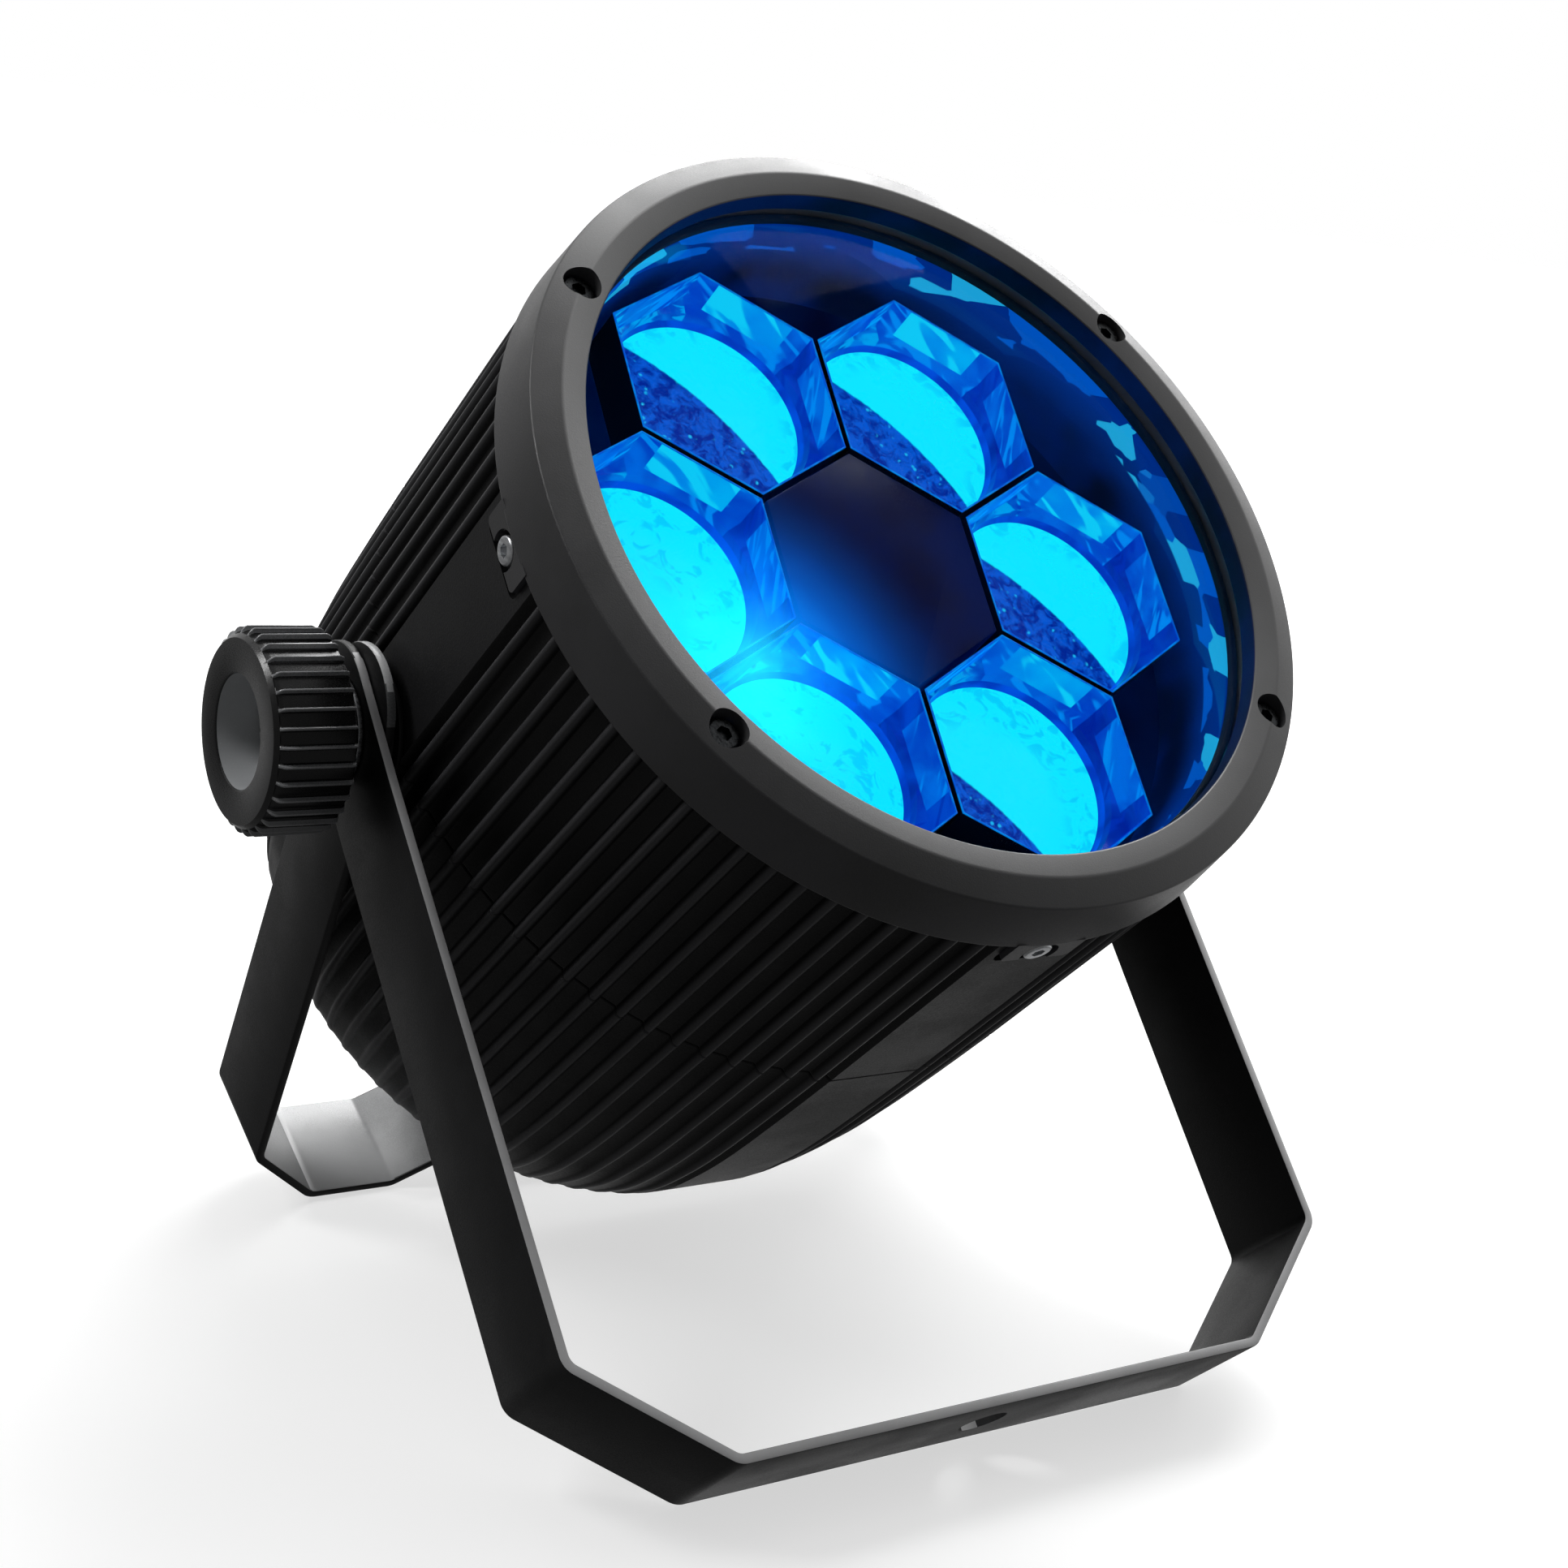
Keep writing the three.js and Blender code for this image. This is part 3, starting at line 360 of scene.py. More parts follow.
SIDE_DARK = surface("lens_side", "00030e", "00061c", 0.3, specular=0.4, grain=0.1)
BOARD = brushed("board_metal", "8b8f93", "b6babd", 0.4, scratch_scale=500)
HEATSINK = brushed("heatsink_metal", "85898c", "a9adb0", 0.45, scratch_scale=500)
FAN = surface("fan_plastic", "0d0d0e", "161617", 0.45, grain=0.2)
DRIVER = circuit_board("driver_green")
DISPLAY = surface("display_gloss", "050607", "0a0c0e", 0.12, specular=0.6, grain=0.03,
                  coat=0.6)
BUTTON = surface("button_plastic", "1b1b1d", "262628", 0.45, grain=0.25)
SOCKET = surface("connector_plastic", "101113", "1a1b1d", 0.4, grain=0.2)
KNOB = surface("knob_plastic", "0e0e0f", "151516", 0.3, specular=0.5, grain=0.12,
               grain_scale=3200, wear="8a8b8d", wear_amount=0.25)
# painted highlights: pale paint on the knob's ridge tops and on the wall of its recess
RIDGE_HIGHLIGHT = surface("knob_ridge_painted_highlight", "707173", "909193", 0.3, specular=0.7, grain=0.12)
BORE_HIGHLIGHT = surface("knob_bore_painted_highlight", "9c9ea0", "bcbec0", 0.4, specular=0.5, grain=0.1)


# ---- mesh tools ----
def placed_mesh(name, verts, faces, place):
    """A mesh from points in millimetres in its own frame."""
    mesh = bpy.data.meshes.new(name)
    mesh.from_pydata([place @ Vector(v) * MM for v in verts], [], faces)
    return mesh


def linked(name, data):
    """A new object in the scene."""
    obj = bpy.data.objects.new(name, data)
    bpy.context.scene.collection.objects.link(obj)
    return obj


def piece(name, verts, faces, place, materials, node, slot, tags=None, angle=32, cell_uv=None):
    """A mesh piece made in millimetres in its own frame, riding on its CAD node's body.

    tags gives each face its material, cell_uv each vertex two numbers that a material may read.
    """
    mesh = placed_mesh(name, verts, faces, place)
    for material in materials:
        mesh.materials.append(material)
    if tags:
        mesh.polygons.foreach_set("material_index", tags)
    if cell_uv:
        layer = mesh.uv_layers.new(name="cell")
        for loop in mesh.loops:
            layer.data[loop.index].uv = cell_uv[loop.vertex_index]
    mesh.validate()
    obj = linked(name, mesh)
    outward(obj)
    smooth(obj, angle)
    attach(obj, BODY_OF[node])
    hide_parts(node)
    return obj


def outward(obj):
    """Merges vertices that coincide and turns every face outwards."""
    bm = bmesh.new()
    bm.from_mesh(obj.data)
    bmesh.ops.remove_doubles(bm, verts=bm.verts, dist=1e-8)
    bmesh.ops.recalc_face_normals(bm, faces=bm.faces)
    bm.to_mesh(obj.data)
    bm.free()


def smooth(obj, angle):
    """Smooth shading with sharp edges beyond an angle in degrees."""
    obj.data.shade_smooth()
    obj.data.set_sharp_from_angle(angle=math.radians(angle))


def cut(obj, cutters, place, angle=32, bevel=0.0):
    """Takes (verts, faces) cutters in millimetres out of obj, then rounds the new edges."""
    tools = []
    for verts, faces in cutters:
        tool = linked("tool", placed_mesh("tool", verts, faces, place))
        outward(tool)
        tools.append(tool)
        modifier = obj.modifiers.new("cut", "BOOLEAN")
        modifier.operation, modifier.solver, modifier.object = "DIFFERENCE", "EXACT", tool
    if bevel:
        rounding = obj.modifiers.new("round", "BEVEL")
        rounding.width, rounding.segments = bevel * MM, 2
        rounding.limit_method, rounding.angle_limit = "ANGLE", math.radians(50)
    made = obj.evaluated_get(bpy.context.evaluated_depsgraph_get())
    mesh = bpy.data.meshes.new_from_object(made)
    obj.modifiers.clear()
    obj.data = mesh
    for tool in tools:
        bpy.data.objects.remove(tool)
    smooth(obj, angle)
    return obj


def soften(points, radius, steps=4, closed=False):
    """Rounds the corners of a 2-D outline; a corner may carry its own radius as a third number."""
    line = []
    count = len(points)
    for i, point in enumerate(points):
        here = Vector(point[:2])
        r = point[2] if len(point) > 2 else radius
        if (not closed and i in (0, count - 1)) or r <= 0:
            line.append(tuple(here))
            continue
        before = Vector(points[i - 1][:2]) - here
        after = Vector(points[(i + 1) % count][:2]) - here
        half = before.angle(after) / 2
        reach = min(r / math.tan(half), 0.45 * before.length, 0.45 * after.length)
        r = reach * math.tan(half)
        start = here + before.normalized() * reach
        end = here + after.normalized() * reach
        centre = here + (before.normalized() + after.normalized()).normalized() * (r / math.sin(half))
        for k in range(steps + 1):
            spoke = start.lerp(end, k / steps) - centre
            line.append(tuple(centre + spoke.normalized() * r))
    return line


def skin(rows, count, closed=False):
    """The quads of a tube of rows with count points each; closed joins the last row to the first."""
    faces = []
    for i in range(rows if closed else rows - 1):
        a, b = i * count, (i + 1) % rows * count
        faces += [(a + s, a + (s + 1) % count, b + (s + 1) % count, b + s) for s in range(count)]
    return faces


def lathe(profile, segments, x=0.0, y=0.0, closed=False):
    """(verts, faces) of a profile of (radius, z) turned round +Z; closed joins its two ends."""
    verts = []
    for r, z in profile:
        for s in range(segments):
            a = 2 * math.pi * s / segments
            verts.append((x + r * math.cos(a), y + r * math.sin(a), z))
    rows = len(profile)
    faces = skin(rows, segments, closed)
    if not closed:
        if profile[0][0] > 1e-6:
            faces.append(tuple(range(segments)))
        if profile[-1][0] > 1e-6:
            faces.append(tuple((rows - 1) * segments + s for s in range(segments)))
    return verts, faces


def drum(radius, low, high, segments=40, x=0.0, y=0.0):
    return lathe([(radius, low), (radius, high)], segments, x, y)


def box_section(radii, heights):
    """The profile of a plain ring, for lathe."""
    (inner, outer), (low, high) = radii, heights
    return [(inner, low), (outer, low), (outer, high), (inner, high)]


def prism(outline, low, high):
    count = len(outline)
    verts = [(*p[:2], low) for p in outline] + [(*p[:2], high) for p in outline]
    faces = [tuple(range(count)), tuple(range(count, 2 * count))]
    faces += [(i, (i + 1) % count, count + (i + 1) % count, count + i) for i in range(count)]
    return verts, faces


def hexagon(radius, clock=0.0):
    return [tuple(polar(radius, clock + 60 * k)[:2]) for k in range(6)]


def rectangle(width, height, x=0.0, y=0.0):
    return [(x - width / 2, y - height / 2), (x + width / 2, y - height / 2),
            (x + width / 2, y + height / 2), (x - width / 2, y + height / 2)]


def swung(shape, matrix):
    """The shape (verts, faces) moved by a matrix."""
    return [tuple(matrix @ Vector(v)) for v in shape[0]], shape[1]


def joined(*shapes):
    """Several shapes as one."""
    verts, faces = [], []
    for v, f in shapes:
        offset = len(verts)
        verts += [tuple(p) for p in v]
        faces += [tuple(i + offset for i in face) for face in f]
    return verts, faces


def rounded_block(outline, low, high, corner, edge):
    """A flat block whose outline corners and upper rim are rounded."""
    flat = soften([(*p, corner) for p in outline], corner, 5, closed=True)
    centre = Vector((sum(p[0] for p in flat) / len(flat), sum(p[1] for p in flat) / len(flat)))
    rows = [(0.0, low), (0.0, high - edge), (0.3 * edge, high - 0.3 * edge), (edge, high)]
    verts = []
    count = len(flat)
    for inset, z in rows:
        for p in flat:
            out = Vector(p) - centre
            q = centre + out * (1 - inset / out.length)
            verts.append((q.x, q.y, z))
    faces = skin(len(rows), count)
    faces.append(tuple(range(count)))
    faces.append(tuple((len(rows) - 1) * count + s for s in range(count)))
    return verts, faces


BODIES = frame["record"]["behaviour"]["bodies"]
BODY_OF = {node: body for body, members in BODIES.items() for node in members}


# ---- the U brackets ----
def bent_line(points, radius, steps):
    """Fine centre line of a bent bar: its points, and each one's distance along the bar."""
    line = [Vector(p) for p in soften(points, radius, steps)]
    lengths = [0.0]
    for a, b in zip(line, line[1:]):
        lengths.append(lengths[-1] + (b - a).length)
    return line, lengths


def on_line(line, lengths, s):
    """The point at distance s along the line."""
    k = next((i for i in range(1, len(lengths)) if lengths[i] >= s - 1e-9), len(lengths) - 1)
    share = (s - lengths[k - 1]) / (lengths[k] - lengths[k - 1])
    return line[k - 1].lerp(line[k], share)


def side_at(line, i):
    """The direction across the bar at its i-th point."""
    into = (line[i] - line[max(i - 1, 0)]).normalized()
    out = (line[min(i + 1, len(line) - 1)] - line[i]).normalized()
    along = (into + out).normalized()
    return Vector((-along.y, along.x))


def strap(name, half_points, place, node, clamp_z, arm_x):
    """A flat bar bent to a U, with round ends and softened edges, drilled for the pivot and a clamp."""
    points = half_points + [(-x, z) for x, z in reversed(half_points)]
    line, lengths = bent_line(points, STRAP_BEND, 8)
    total, half_w, half_t, bevel = lengths[-1], STRAP_HALF, STRAP_THICKNESS / 2, 0.45
    slices, end_steps = [], 12
    for k in range(end_steps + 1):
        angle = math.radians(90 * k / end_steps)
        row = []
        for inset in (0.0, 0.3 * bevel, bevel):
            r = half_w - inset
            row.append((half_w - r * math.cos(angle), r * math.sin(angle)))
        slices.append(row)
    middle = [s for s in lengths[1:-1] if half_w + 1 < s < total - half_w - 1]
    start = [[(on_line(line, lengths, s), w) for s, w in row] for row in slices]
    sides = [Vector(side_at(line, 0))] * len(start)
    rows, normals = list(start), list(sides)
    for s in middle:
        at = line[lengths.index(s)]
        rows.append([(at, half_w), (at, half_w - 0.3 * bevel), (at, half_w - bevel)])
        normals.append(side_at(line, lengths.index(s)))
    for row in reversed(slices):
        rows.append([(on_line(line, lengths, total - s), w) for s, w in row])
        normals.append(side_at(line, len(line) - 1))
    verts = []
    levels = (half_t - bevel, half_t - 0.3 * bevel, half_t)
    loop = [(0, 1, -1), (0, 1, 1), (1, 1, 1), (2, 1, 1), (2, -1, 1), (1, -1, 1),
            (0, -1, 1), (0, -1, -1), (1, -1, -1), (2, -1, -1), (2, 1, -1), (1, 1, -1)]
    for row, normal in zip(rows, normals):
        for level, width_sign, face_sign in loop:
            at, w = row[level]
            p = at + normal * face_sign * levels[level]
            verts.append((p.x, width_sign * w, p.y))
    obj = piece(name, verts, skin(len(rows), len(loop)), place,
                [PAINT, EDGE_HIGHLIGHT, FOOT_REFLECTION, BEND_REFLECTION], node, "bracket_paint")
    across = turned_by(90, "Y")
    holes = [swung(drum(PIVOT_HOLE_R, x - 20, x + 20, 32), across) for x in (-arm_x, arm_x)]
    holes.append(drum(CLAMP_HOLE_R, clamp_z - 12, clamp_z + 12, 48))
    cut(obj, holes, place, angle=30)
    to_local = place.inverted().to_3x3()
    for face in obj.data.polygons:
        facing = to_local @ face.normal
        # the front bracket's side faces take the painted highlight
        if node == "front_bracket":
            face.material_index = 1 if abs(facing.y) > 0.9 else 0
        # the rear bracket's faces that face up take painted reflections, palest where they face straight up
        elif facing.z > 0.4:
            face.material_index = 2 if facing.z > 0.8 else 3


def brackets():
    half = STRAP_THICKNESS / 2
    end = STRAP_TOP + STRAP_HALF
    front = [(FRONT_ARM_X - half, end), (FRONT_ARM_X - half, -CLAMP_ZONE),
             (FRONT_LOW_X - half, -FRONT_DROP + FRONT_CORNER[1]),
             (FRONT_LOW_X - FRONT_CORNER[0], -FRONT_DROP + half)]
    foot = REAR_LOW_X - REAR_CORNER[0]
    rear = [(REAR_ARM_X - half, end), (REAR_ARM_X - half, -CLAMP_ZONE),
            (REAR_LOW_X - half, -REAR_DROP + REAR_CORNER[1]), (foot, -REAR_DROP + half),
            (foot - REAR_FOOT, -REAR_DROP + half),
            (foot - REAR_FOOT - REAR_RISE[0], -REAR_DROP + REAR_RISE[1] + half)]
    strap("yoke_front", front, FRONT, "front_bracket", -FRONT_DROP, FRONT_ARM_X)
    strap("yoke_rear", rear, REAR, "rear_bracket", -REAR_DROP + 7, REAR_ARM_X)


# ---- the ribbed housing ----
# Across one rib: millimetres from its middle, and height as a share of RIB_HEIGHT.
RIB_SHAPE = [(-2.2, 0.0), (-1.8, 0.08), (-1.45, 0.36), (-1.05, 0.74), (-0.55, 0.95), (0.0, 1.0),
             (0.55, 0.95), (1.05, 0.74), (1.45, 0.36), (1.8, 0.08), (2.2, 0.0)]


def ribbed_ring(top, height, z):
    """One cross-section of the casting: rounded ribs and four smooth flat pads."""
    base = top - height
    scale = top / RIB_TOP_R
    pad_angle = math.degrees(math.atan2(PAD_HALF, PAD_X))
    points = []
    for quadrant in range(4):
        start = quadrant * 90
        for k in range(-6, 7):
            a = k / 6 * pad_angle
            points.append(polar(PAD_X * scale / math.cos(math.radians(a)), start + a, z))
        points.append(polar(base + 0.25, start + PAD_FOOT, z))
        for i in range(RIBS):
            centre = start + RIB_FIRST + i * RIB_PITCH
            for x, h in RIB_SHAPE:
                points.append(polar(base + h * height, centre + math.degrees(x / RIB_TOP_R), z))
        points.append(polar(base + 0.25, start + 90 - PAD_FOOT, z))
    return points


# The rib height of each point of a ribbed_ring, for the painted highlight on the rib tops; pads count as
# 0.45.
RING_HEIGHTS = ([0.45] * 13 + [0.0] + [h for _ in range(RIBS) for x, h in RIB_SHAPE] + [0.0]) * 4


def crest_uv(ribbed, plain=0):
    """The cell_uv of a number of ribbed cross-sections, and of plain ones after them."""
    after = [(0.4, 0.0)] * plain * len(RING_HEIGHTS)
    return [(h, 0.0) for _ in range(ribbed) for h in RING_HEIGHTS] + after


def shell(sections):
    """(verts, faces) of a skin through closed sections with the same number of points."""
    return [tuple(p) for section in sections for p in section], skin(len(sections), len(sections[0]))


def eased(rows, steps):
    """Catmull-Rom points through rows of equal length."""
    line = []
    for i in range(len(rows) - 1):
        quad = [rows[max(i - 1, 0)], rows[i], rows[i + 1], rows[min(i + 2, len(rows) - 1)]]
        for k in range(steps):
            t = k / steps
            line.append([0.5 * (2 * b + (c - a) * t + (2 * a - 5 * b + 4 * c - d) * t * t
                                + (3 * b - a - 3 * c + d) * t ** 3) for a, b, c, d in zip(*quad)])
    line.append(list(rows[-1]))
    return line


def on_side(x):
    """Lays a flat outline on the head's +X side, at the height of the tab screws."""
    return Matrix.Translation((x, 0, TAB_SCREW_Z)) @ turned_by(90, "Z") @ turned_by(90, "X")


def housings():
    """The two ribbed halves of the head, with pockets for the bezel's tabs."""
    low, high = SEAM_Z + SEAM_GAP, HOUSING_FRONT_Z
    sections = [ribbed_ring(104, 0.1, low), ribbed_ring(RIB_TOP_R - 0.5, RIB_HEIGHT - 0.3, low),
                ribbed_ring(RIB_TOP_R, RIB_HEIGHT, low + SEAM_EASE),
                ribbed_ring(RIB_TOP_R, RIB_HEIGHT, low + 2 * SEAM_EASE)]
    length = high - low - SEAM_EASE
    sections += [ribbed_ring(RIB_TOP_R - 0.8 * k / 4, RIB_HEIGHT, low + SEAM_EASE + length * k / 4)
                 for k in range(1, 5)]
    sections.append(ribbed_ring(103, 0.1, high))
    verts, faces = shell(sections)
    count = len(RING_HEIGHTS)
    # painted highlight: the rib tops in the seam's bevel take the pale edge paint
    seam_highlight_tags = [int(i // count == 1 and 0.9 < RING_HEIGHTS[i % count] < 1.0) for i in range(len(faces))]
    front = piece("casting_front", verts, faces, HEAD, [CAST, EDGE_HIGHLIGHT], "front_housing", "housing_cast",
                  tags=seam_highlight_tags, angle=40, cell_uv=crest_uv(len(sections)))
    pockets = []
    for side in range(4):
        spin = turned_by(90 * side, "Z")
        pocket = [(-11, -5.2, 2.5), (11, -5.2, 2.5), (11, 6, 0), (-11, 6, 0)]
        box = prism(soften(pocket, 2.5, 4, True), -3, 4)
        pockets.append(swung(box, spin @ on_side(TAB_FACE_X - SEAM_GAP + 3)))
    cut(front, pockets, HEAD, angle=35)
    # radius over the ribs, z, and rib height as a share of RIB_HEIGHT
    rows = [[RIB_TOP_R - 0.001, SEAM_Z - 2 * SEAM_EASE, 1], [112.9, -20, 1], [112.4, -48, 0.95],
            [110.9, -68, 0.75], [107.8, -88, 0.45], [101.3, -108.5, 0.2], [95.6, -117.5, 0.1]]
    sections = [ribbed_ring(104, 0.1, SEAM_Z), ribbed_ring(RIB_TOP_R - 0.5, RIB_HEIGHT - 0.3, SEAM_Z),
                ribbed_ring(RIB_TOP_R, RIB_HEIGHT, SEAM_Z - SEAM_EASE)]
    sections += [ribbed_ring(r, RIB_HEIGHT * max(rib, 0.08), z) for r, z, rib in eased(rows, 4)]
    sections += [ribbed_ring(94.2, 0.1, -118.7), ribbed_ring(91.5, 0.05, -119)]
    ribbed = len(sections)
    seat = soften([(91.5, -119), (79.6, -119, 0.8), (79.6, -114.9, 0), (72, -114.9, 0), (72, -110)],
                  0.8, 3)
    rim = [math.degrees(math.atan2(p.y, p.x)) for p in sections[-1]]
    sections += [[polar(r, a, z) for a in rim] for r, z in seat[1:]]
    piece("casting_rear", *shell(sections), HEAD, [CAST], "rear_housing", "housing_cast", angle=40,
          cell_uv=crest_uv(ribbed, len(sections) - ribbed))


# ---- the bezel and its screws ----
def bezel():
    """The front ring with its screw holes, and the four tabs that hold it to the head."""
    profile = [(BEZEL_BACK_R, BEZEL_BACK_Z, 0.3), (BEZEL_R, BEZEL_BACK_Z, 0.7), (*BEZEL_EDGE, 0.8),
               (*BEZEL_RIDGE, 2.2), (OPENING_R, BEZEL_LIP_Z, 0.7), (OPENING_R, SEAT_Z[1], 0.2),
               (SEAT_R, SEAT_Z[1], 0), (SEAT_R, SEAT_Z[0], 0), (BEZEL_BACK_R, SEAT_Z[0], 0)]
    obj = piece("rim_bezel", *lathe(soften(profile, 0.4, 6, closed=True), 192, closed=True), HEAD,
                [BEZEL, WALL_BLACK], "front_bezel", "bezel_paint", angle=30)
    cutters = []
    for angle in BEZEL_SCREW_ANGLES:
        x, y = polar(BEZEL_SCREW_R, angle)[:2]
        cutters.append(drum(*COUNTERBORE, 116, 48, x, y))
        cutters.append(drum(2, 90, 103, 20, x, y))
    cut(obj, cutters, HEAD, angle=30)
    to_head = HEAD.inverted()
    for face in obj.data.polygons:
        at = to_head @ (face.center / MM)
        if Vector(at[:2]).length < OPENING_R + 0.15:
            face.material_index = 1    # the wall of the opening is dark
    tabs = []
    for side in range(4):
        outline = [(-10.5, -2.6, 1.6), (10.5, -2.6, 1.6), (10.5, 6.2, 0), (-10.5, 6.2, 0)]
        ring = soften(outline, 3, 5, closed=True)
        shape = prism(ring, 0, BEZEL_R - TAB_FACE_X - 0.35)
        tabs.append(swung(shape, turned_by(90 * side, "Z") @ on_side(TAB_FACE_X)))
    tab = piece("rim_tabs", *joined(*tabs), HEAD, [BEZEL], "front_bezel", "bezel_paint", angle=30)
    bites = []
    for side in range(4):
        lay = turned_by(90 * side, "Z") @ Matrix.Translation((0, 0, TAB_SCREW_Z)) @ turned_by(90, "Y")
        bites.append(swung(drum(5.1, 108, 118, 36), lay))
    cut(tab, bites, HEAD, angle=20, bevel=0.3)
    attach(tab, "head")


def screw(name, place, node, head_r, low, high, shank_r, shank_end, socket_r, finish=SCREW):
    """A socket-head screw: domed rim, hexagonal socket, plain shank."""
    profile = soften([(0.0, shank_end), (shank_r, shank_end, 0.3), (shank_r, low, 0), (head_r, low, 0.2),
                      (head_r, high, 0.7), (0.0, high)], 0.2, 4)
    obj = piece(name, *lathe(profile, 40), place, [finish], node, "screw_steel", angle=28)
    return cut(obj, [prism(hexagon(socket_r), high - 1.4, high + 1)], place, angle=28)


def screws():
    for i, angle in enumerate(BEZEL_SCREW_ANGLES):
        x, y = polar(BEZEL_SCREW_R, angle)[:2]
        screw(f"rim_screw_{i + 1}", HEAD @ Matrix.Translation((x, y, 0)) @ turned_by(17 * i, "Z"),
              f"bezel_screw_{i + 1}", 4.2, 102.3, 105.2, 1.7, 92, 2, SCREW_DARK)
    for i, side in enumerate(("right", "top", "left", "bottom")):
        place = HEAD @ turned_by(90 * i, "Z") @ Matrix.Translation((0, 0, TAB_SCREW_Z)) @ turned_by(90, "Y")
        screw(f"lug_screw_{side}", place, f"tab_screw_{side}",
              3.7, TAB_FACE_X, TAB_FACE_X + 2.6, 1.6, 106, 1.8)
    for i, angle in enumerate(PANEL_SCREW_ANGLES):
        x, y = polar(PANEL_SCREW_R, angle)[:2]
        screw(f"rear_screw_{i + 1}", BACK @ Matrix.Translation((x, y, 0)), f"panel_screw_{i + 1}",
              3, 117.9, 119.7, 1.4, 110, 1.5)


# ---- optics ----
def cell_centre(index):
    return polar(math.sqrt(3) * CELL_R, 30 + 60 * index + CELL_CLOCK)


def hex_radius(apothem, degrees):
    """The distance from a cell's middle to its hexagonal outline."""
    local = (degrees - CELL_CLOCK) % 60 - 30
    return apothem / math.cos(math.radians(local))


# Where the lit side of each cell's floor ends: the chord's direction, and its distance from the
# middle of cells 1 to 6 as a share of LENS_R.
CHORD_ANGLE = 39.2
CHORD_SHIFT = (0.0, 0.0, 0.06, -0.55, -0.62, -0.3)


def lens(index):
    """A moulded hexagonal collimator: a clear six-sided mouth that runs down to a round bowl."""
    centre = cell_centre(index)
    steps = 120
    angles = [CELL_CLOCK + 360 * s / steps for s in range(steps)]
    outer = LENS_R * math.cos(math.pi / 6)
    rim, inside = LENS_TOP_Z - 0.25, LENS_WALL
    # inset from the outline, z; then radius, z
    hexes = [(0.0, WELL_FLOOR_Z), (0.0, rim), (0.12, LENS_TOP_Z), (inside - 0.12, LENS_TOP_Z),
             (inside, rim), (inside + 0.1, 74.5), (inside + 0.2, 69.2)]
    rounds = [(29.6, 68.6), (29.2, 66.2), (BOWL_R, WELL_FLOOR_Z)]
    for k in range(1, 8):
        share = 1 - k / 8
        rounds.append((BOWL_R * share, WELL_FLOOR_Z + BOWL_FLOOR_RISE * (1 - share ** 2)))
    verts = [tuple(centre + polar(hex_radius(outer - inset, a), a, z))
             for inset, z in hexes for a in angles]
    verts += [tuple(centre + polar(radius, a, z)) for radius, z in rounds for a in angles]
    verts.append(tuple(centre + Vector((0, 0, WELL_FLOOR_Z + BOWL_FLOOR_RISE))))
    rows = len(hexes) + len(rounds)
    faces, tags = skin(rows, steps), []
    # for each of the six walls, the materials of its middle and of its corners and lower part
    tones = ((2, 4), (1, 2), (2, 3), (1, 3), (3, 4), (4, 4))
    outside_and_rim, ring = (6, 5, 5, 5), 7
    for i in range(rows - 1):
        for s in range(steps):
            from_middle = (360 * (s + 0.5) / steps) % 60 - 30
            if i < 4:
                tags.append(outside_and_rim[i])
            elif i < 8:
                tags.append(tones[s * 6 // steps][abs(from_middle) > 20 or i > 5])
            else:
                tags.append(ring if i == 8 else 0)
    last = (rows - 1) * steps
    for s in range(steps):
        faces.append((last + s, last + (s + 1) % steps, len(verts) - 1))
        tags.append(0)
    back = [(0.0, 43.4), (8, 43.4, 1), (17, 50, 4), (25, 62)]
    bowl = lathe(soften(back, 2, 4), 48, centre.x, centre.y)
    faces += [tuple(i + len(verts) for i in face) for face in bowl[1]]
    tags += [6] * len(bowl[1])
    verts += bowl[0]
    past, beside = polar(1 / LENS_R, CHORD_ANGLE), polar(1 / LENS_R, CHORD_ANGLE + 90)
    local = [Vector(v) - centre for v in verts]
    uv = [(p.dot(past) - CHORD_SHIFT[index], p.dot(beside)) for p in local]
    materials = [FLOOR_LIT, WALL_A, WALL_B, WALL_M, WALL_C, EDGE_LIT, SIDE_DARK, RING_LIT]
    piece(f"collimator_{index + 1}", verts, faces, HEAD, materials, f"lens_{index + 1}", "lens_clear",
          tags=tags, angle=25, cell_uv=uv)


def optics():
    for index in range(6):
        lens(index)
    outline = hexagon(LENS_R, CELL_CLOCK)
    piece("blank_cell", *rounded_block(outline, WELL_FLOOR_Z, LENS_TOP_Z - 0.5, 0.6, 0.5), HEAD, [CAP],
          "centre_cap", "cap_gloss", angle=30)
    low, high = GLASS_Z
    glass = soften([(0.0, low), (GLASS_R, low, 0.5), (GLASS_R, high, 0.5), (0.0, high)], 0.5, 3)
    piece("cover_pane", *lathe(glass, 128), HEAD, [GLASS], "front_glass", "cover_glass", angle=30)
    low, high = SHROUD_Z
    verts, faces = lathe(soften(box_section(SHROUD_R, SHROUD_Z), 0.3, 2, closed=True), 160, closed=True)
    depth = [(0.0, (v[2] - low) / (high - low)) for v in verts]
    piece("shroud_ring", verts, faces, HEAD @ turned_by(-90, "Z"), [SHROUD], "inner_shroud", "shroud_gloss",
          cell_uv=depth)
    seal = soften(box_section(SHROUD_R, GASKET_Z), 0.5, 4, closed=True)
    piece("seal_ring", *lathe(seal, 128, closed=True), HEAD, [RUBBER], "glass_gasket", "gasket_rubber")
    low, high = HOLDER_Z
    slab = lathe([(0.0, low), (HOLDER_R, low), (HOLDER_R, high), (0.0, high)], 128)
    plate = piece("cell_plate", *slab, HEAD, [HOLDER], "lens_holder", "holder_black")
    holes = [drum(HOLDER_HOLE_R, 58, 66, 48, *cell_centre(i)[:2]) for i in range(6)]
    cut(plate, holes, HEAD)


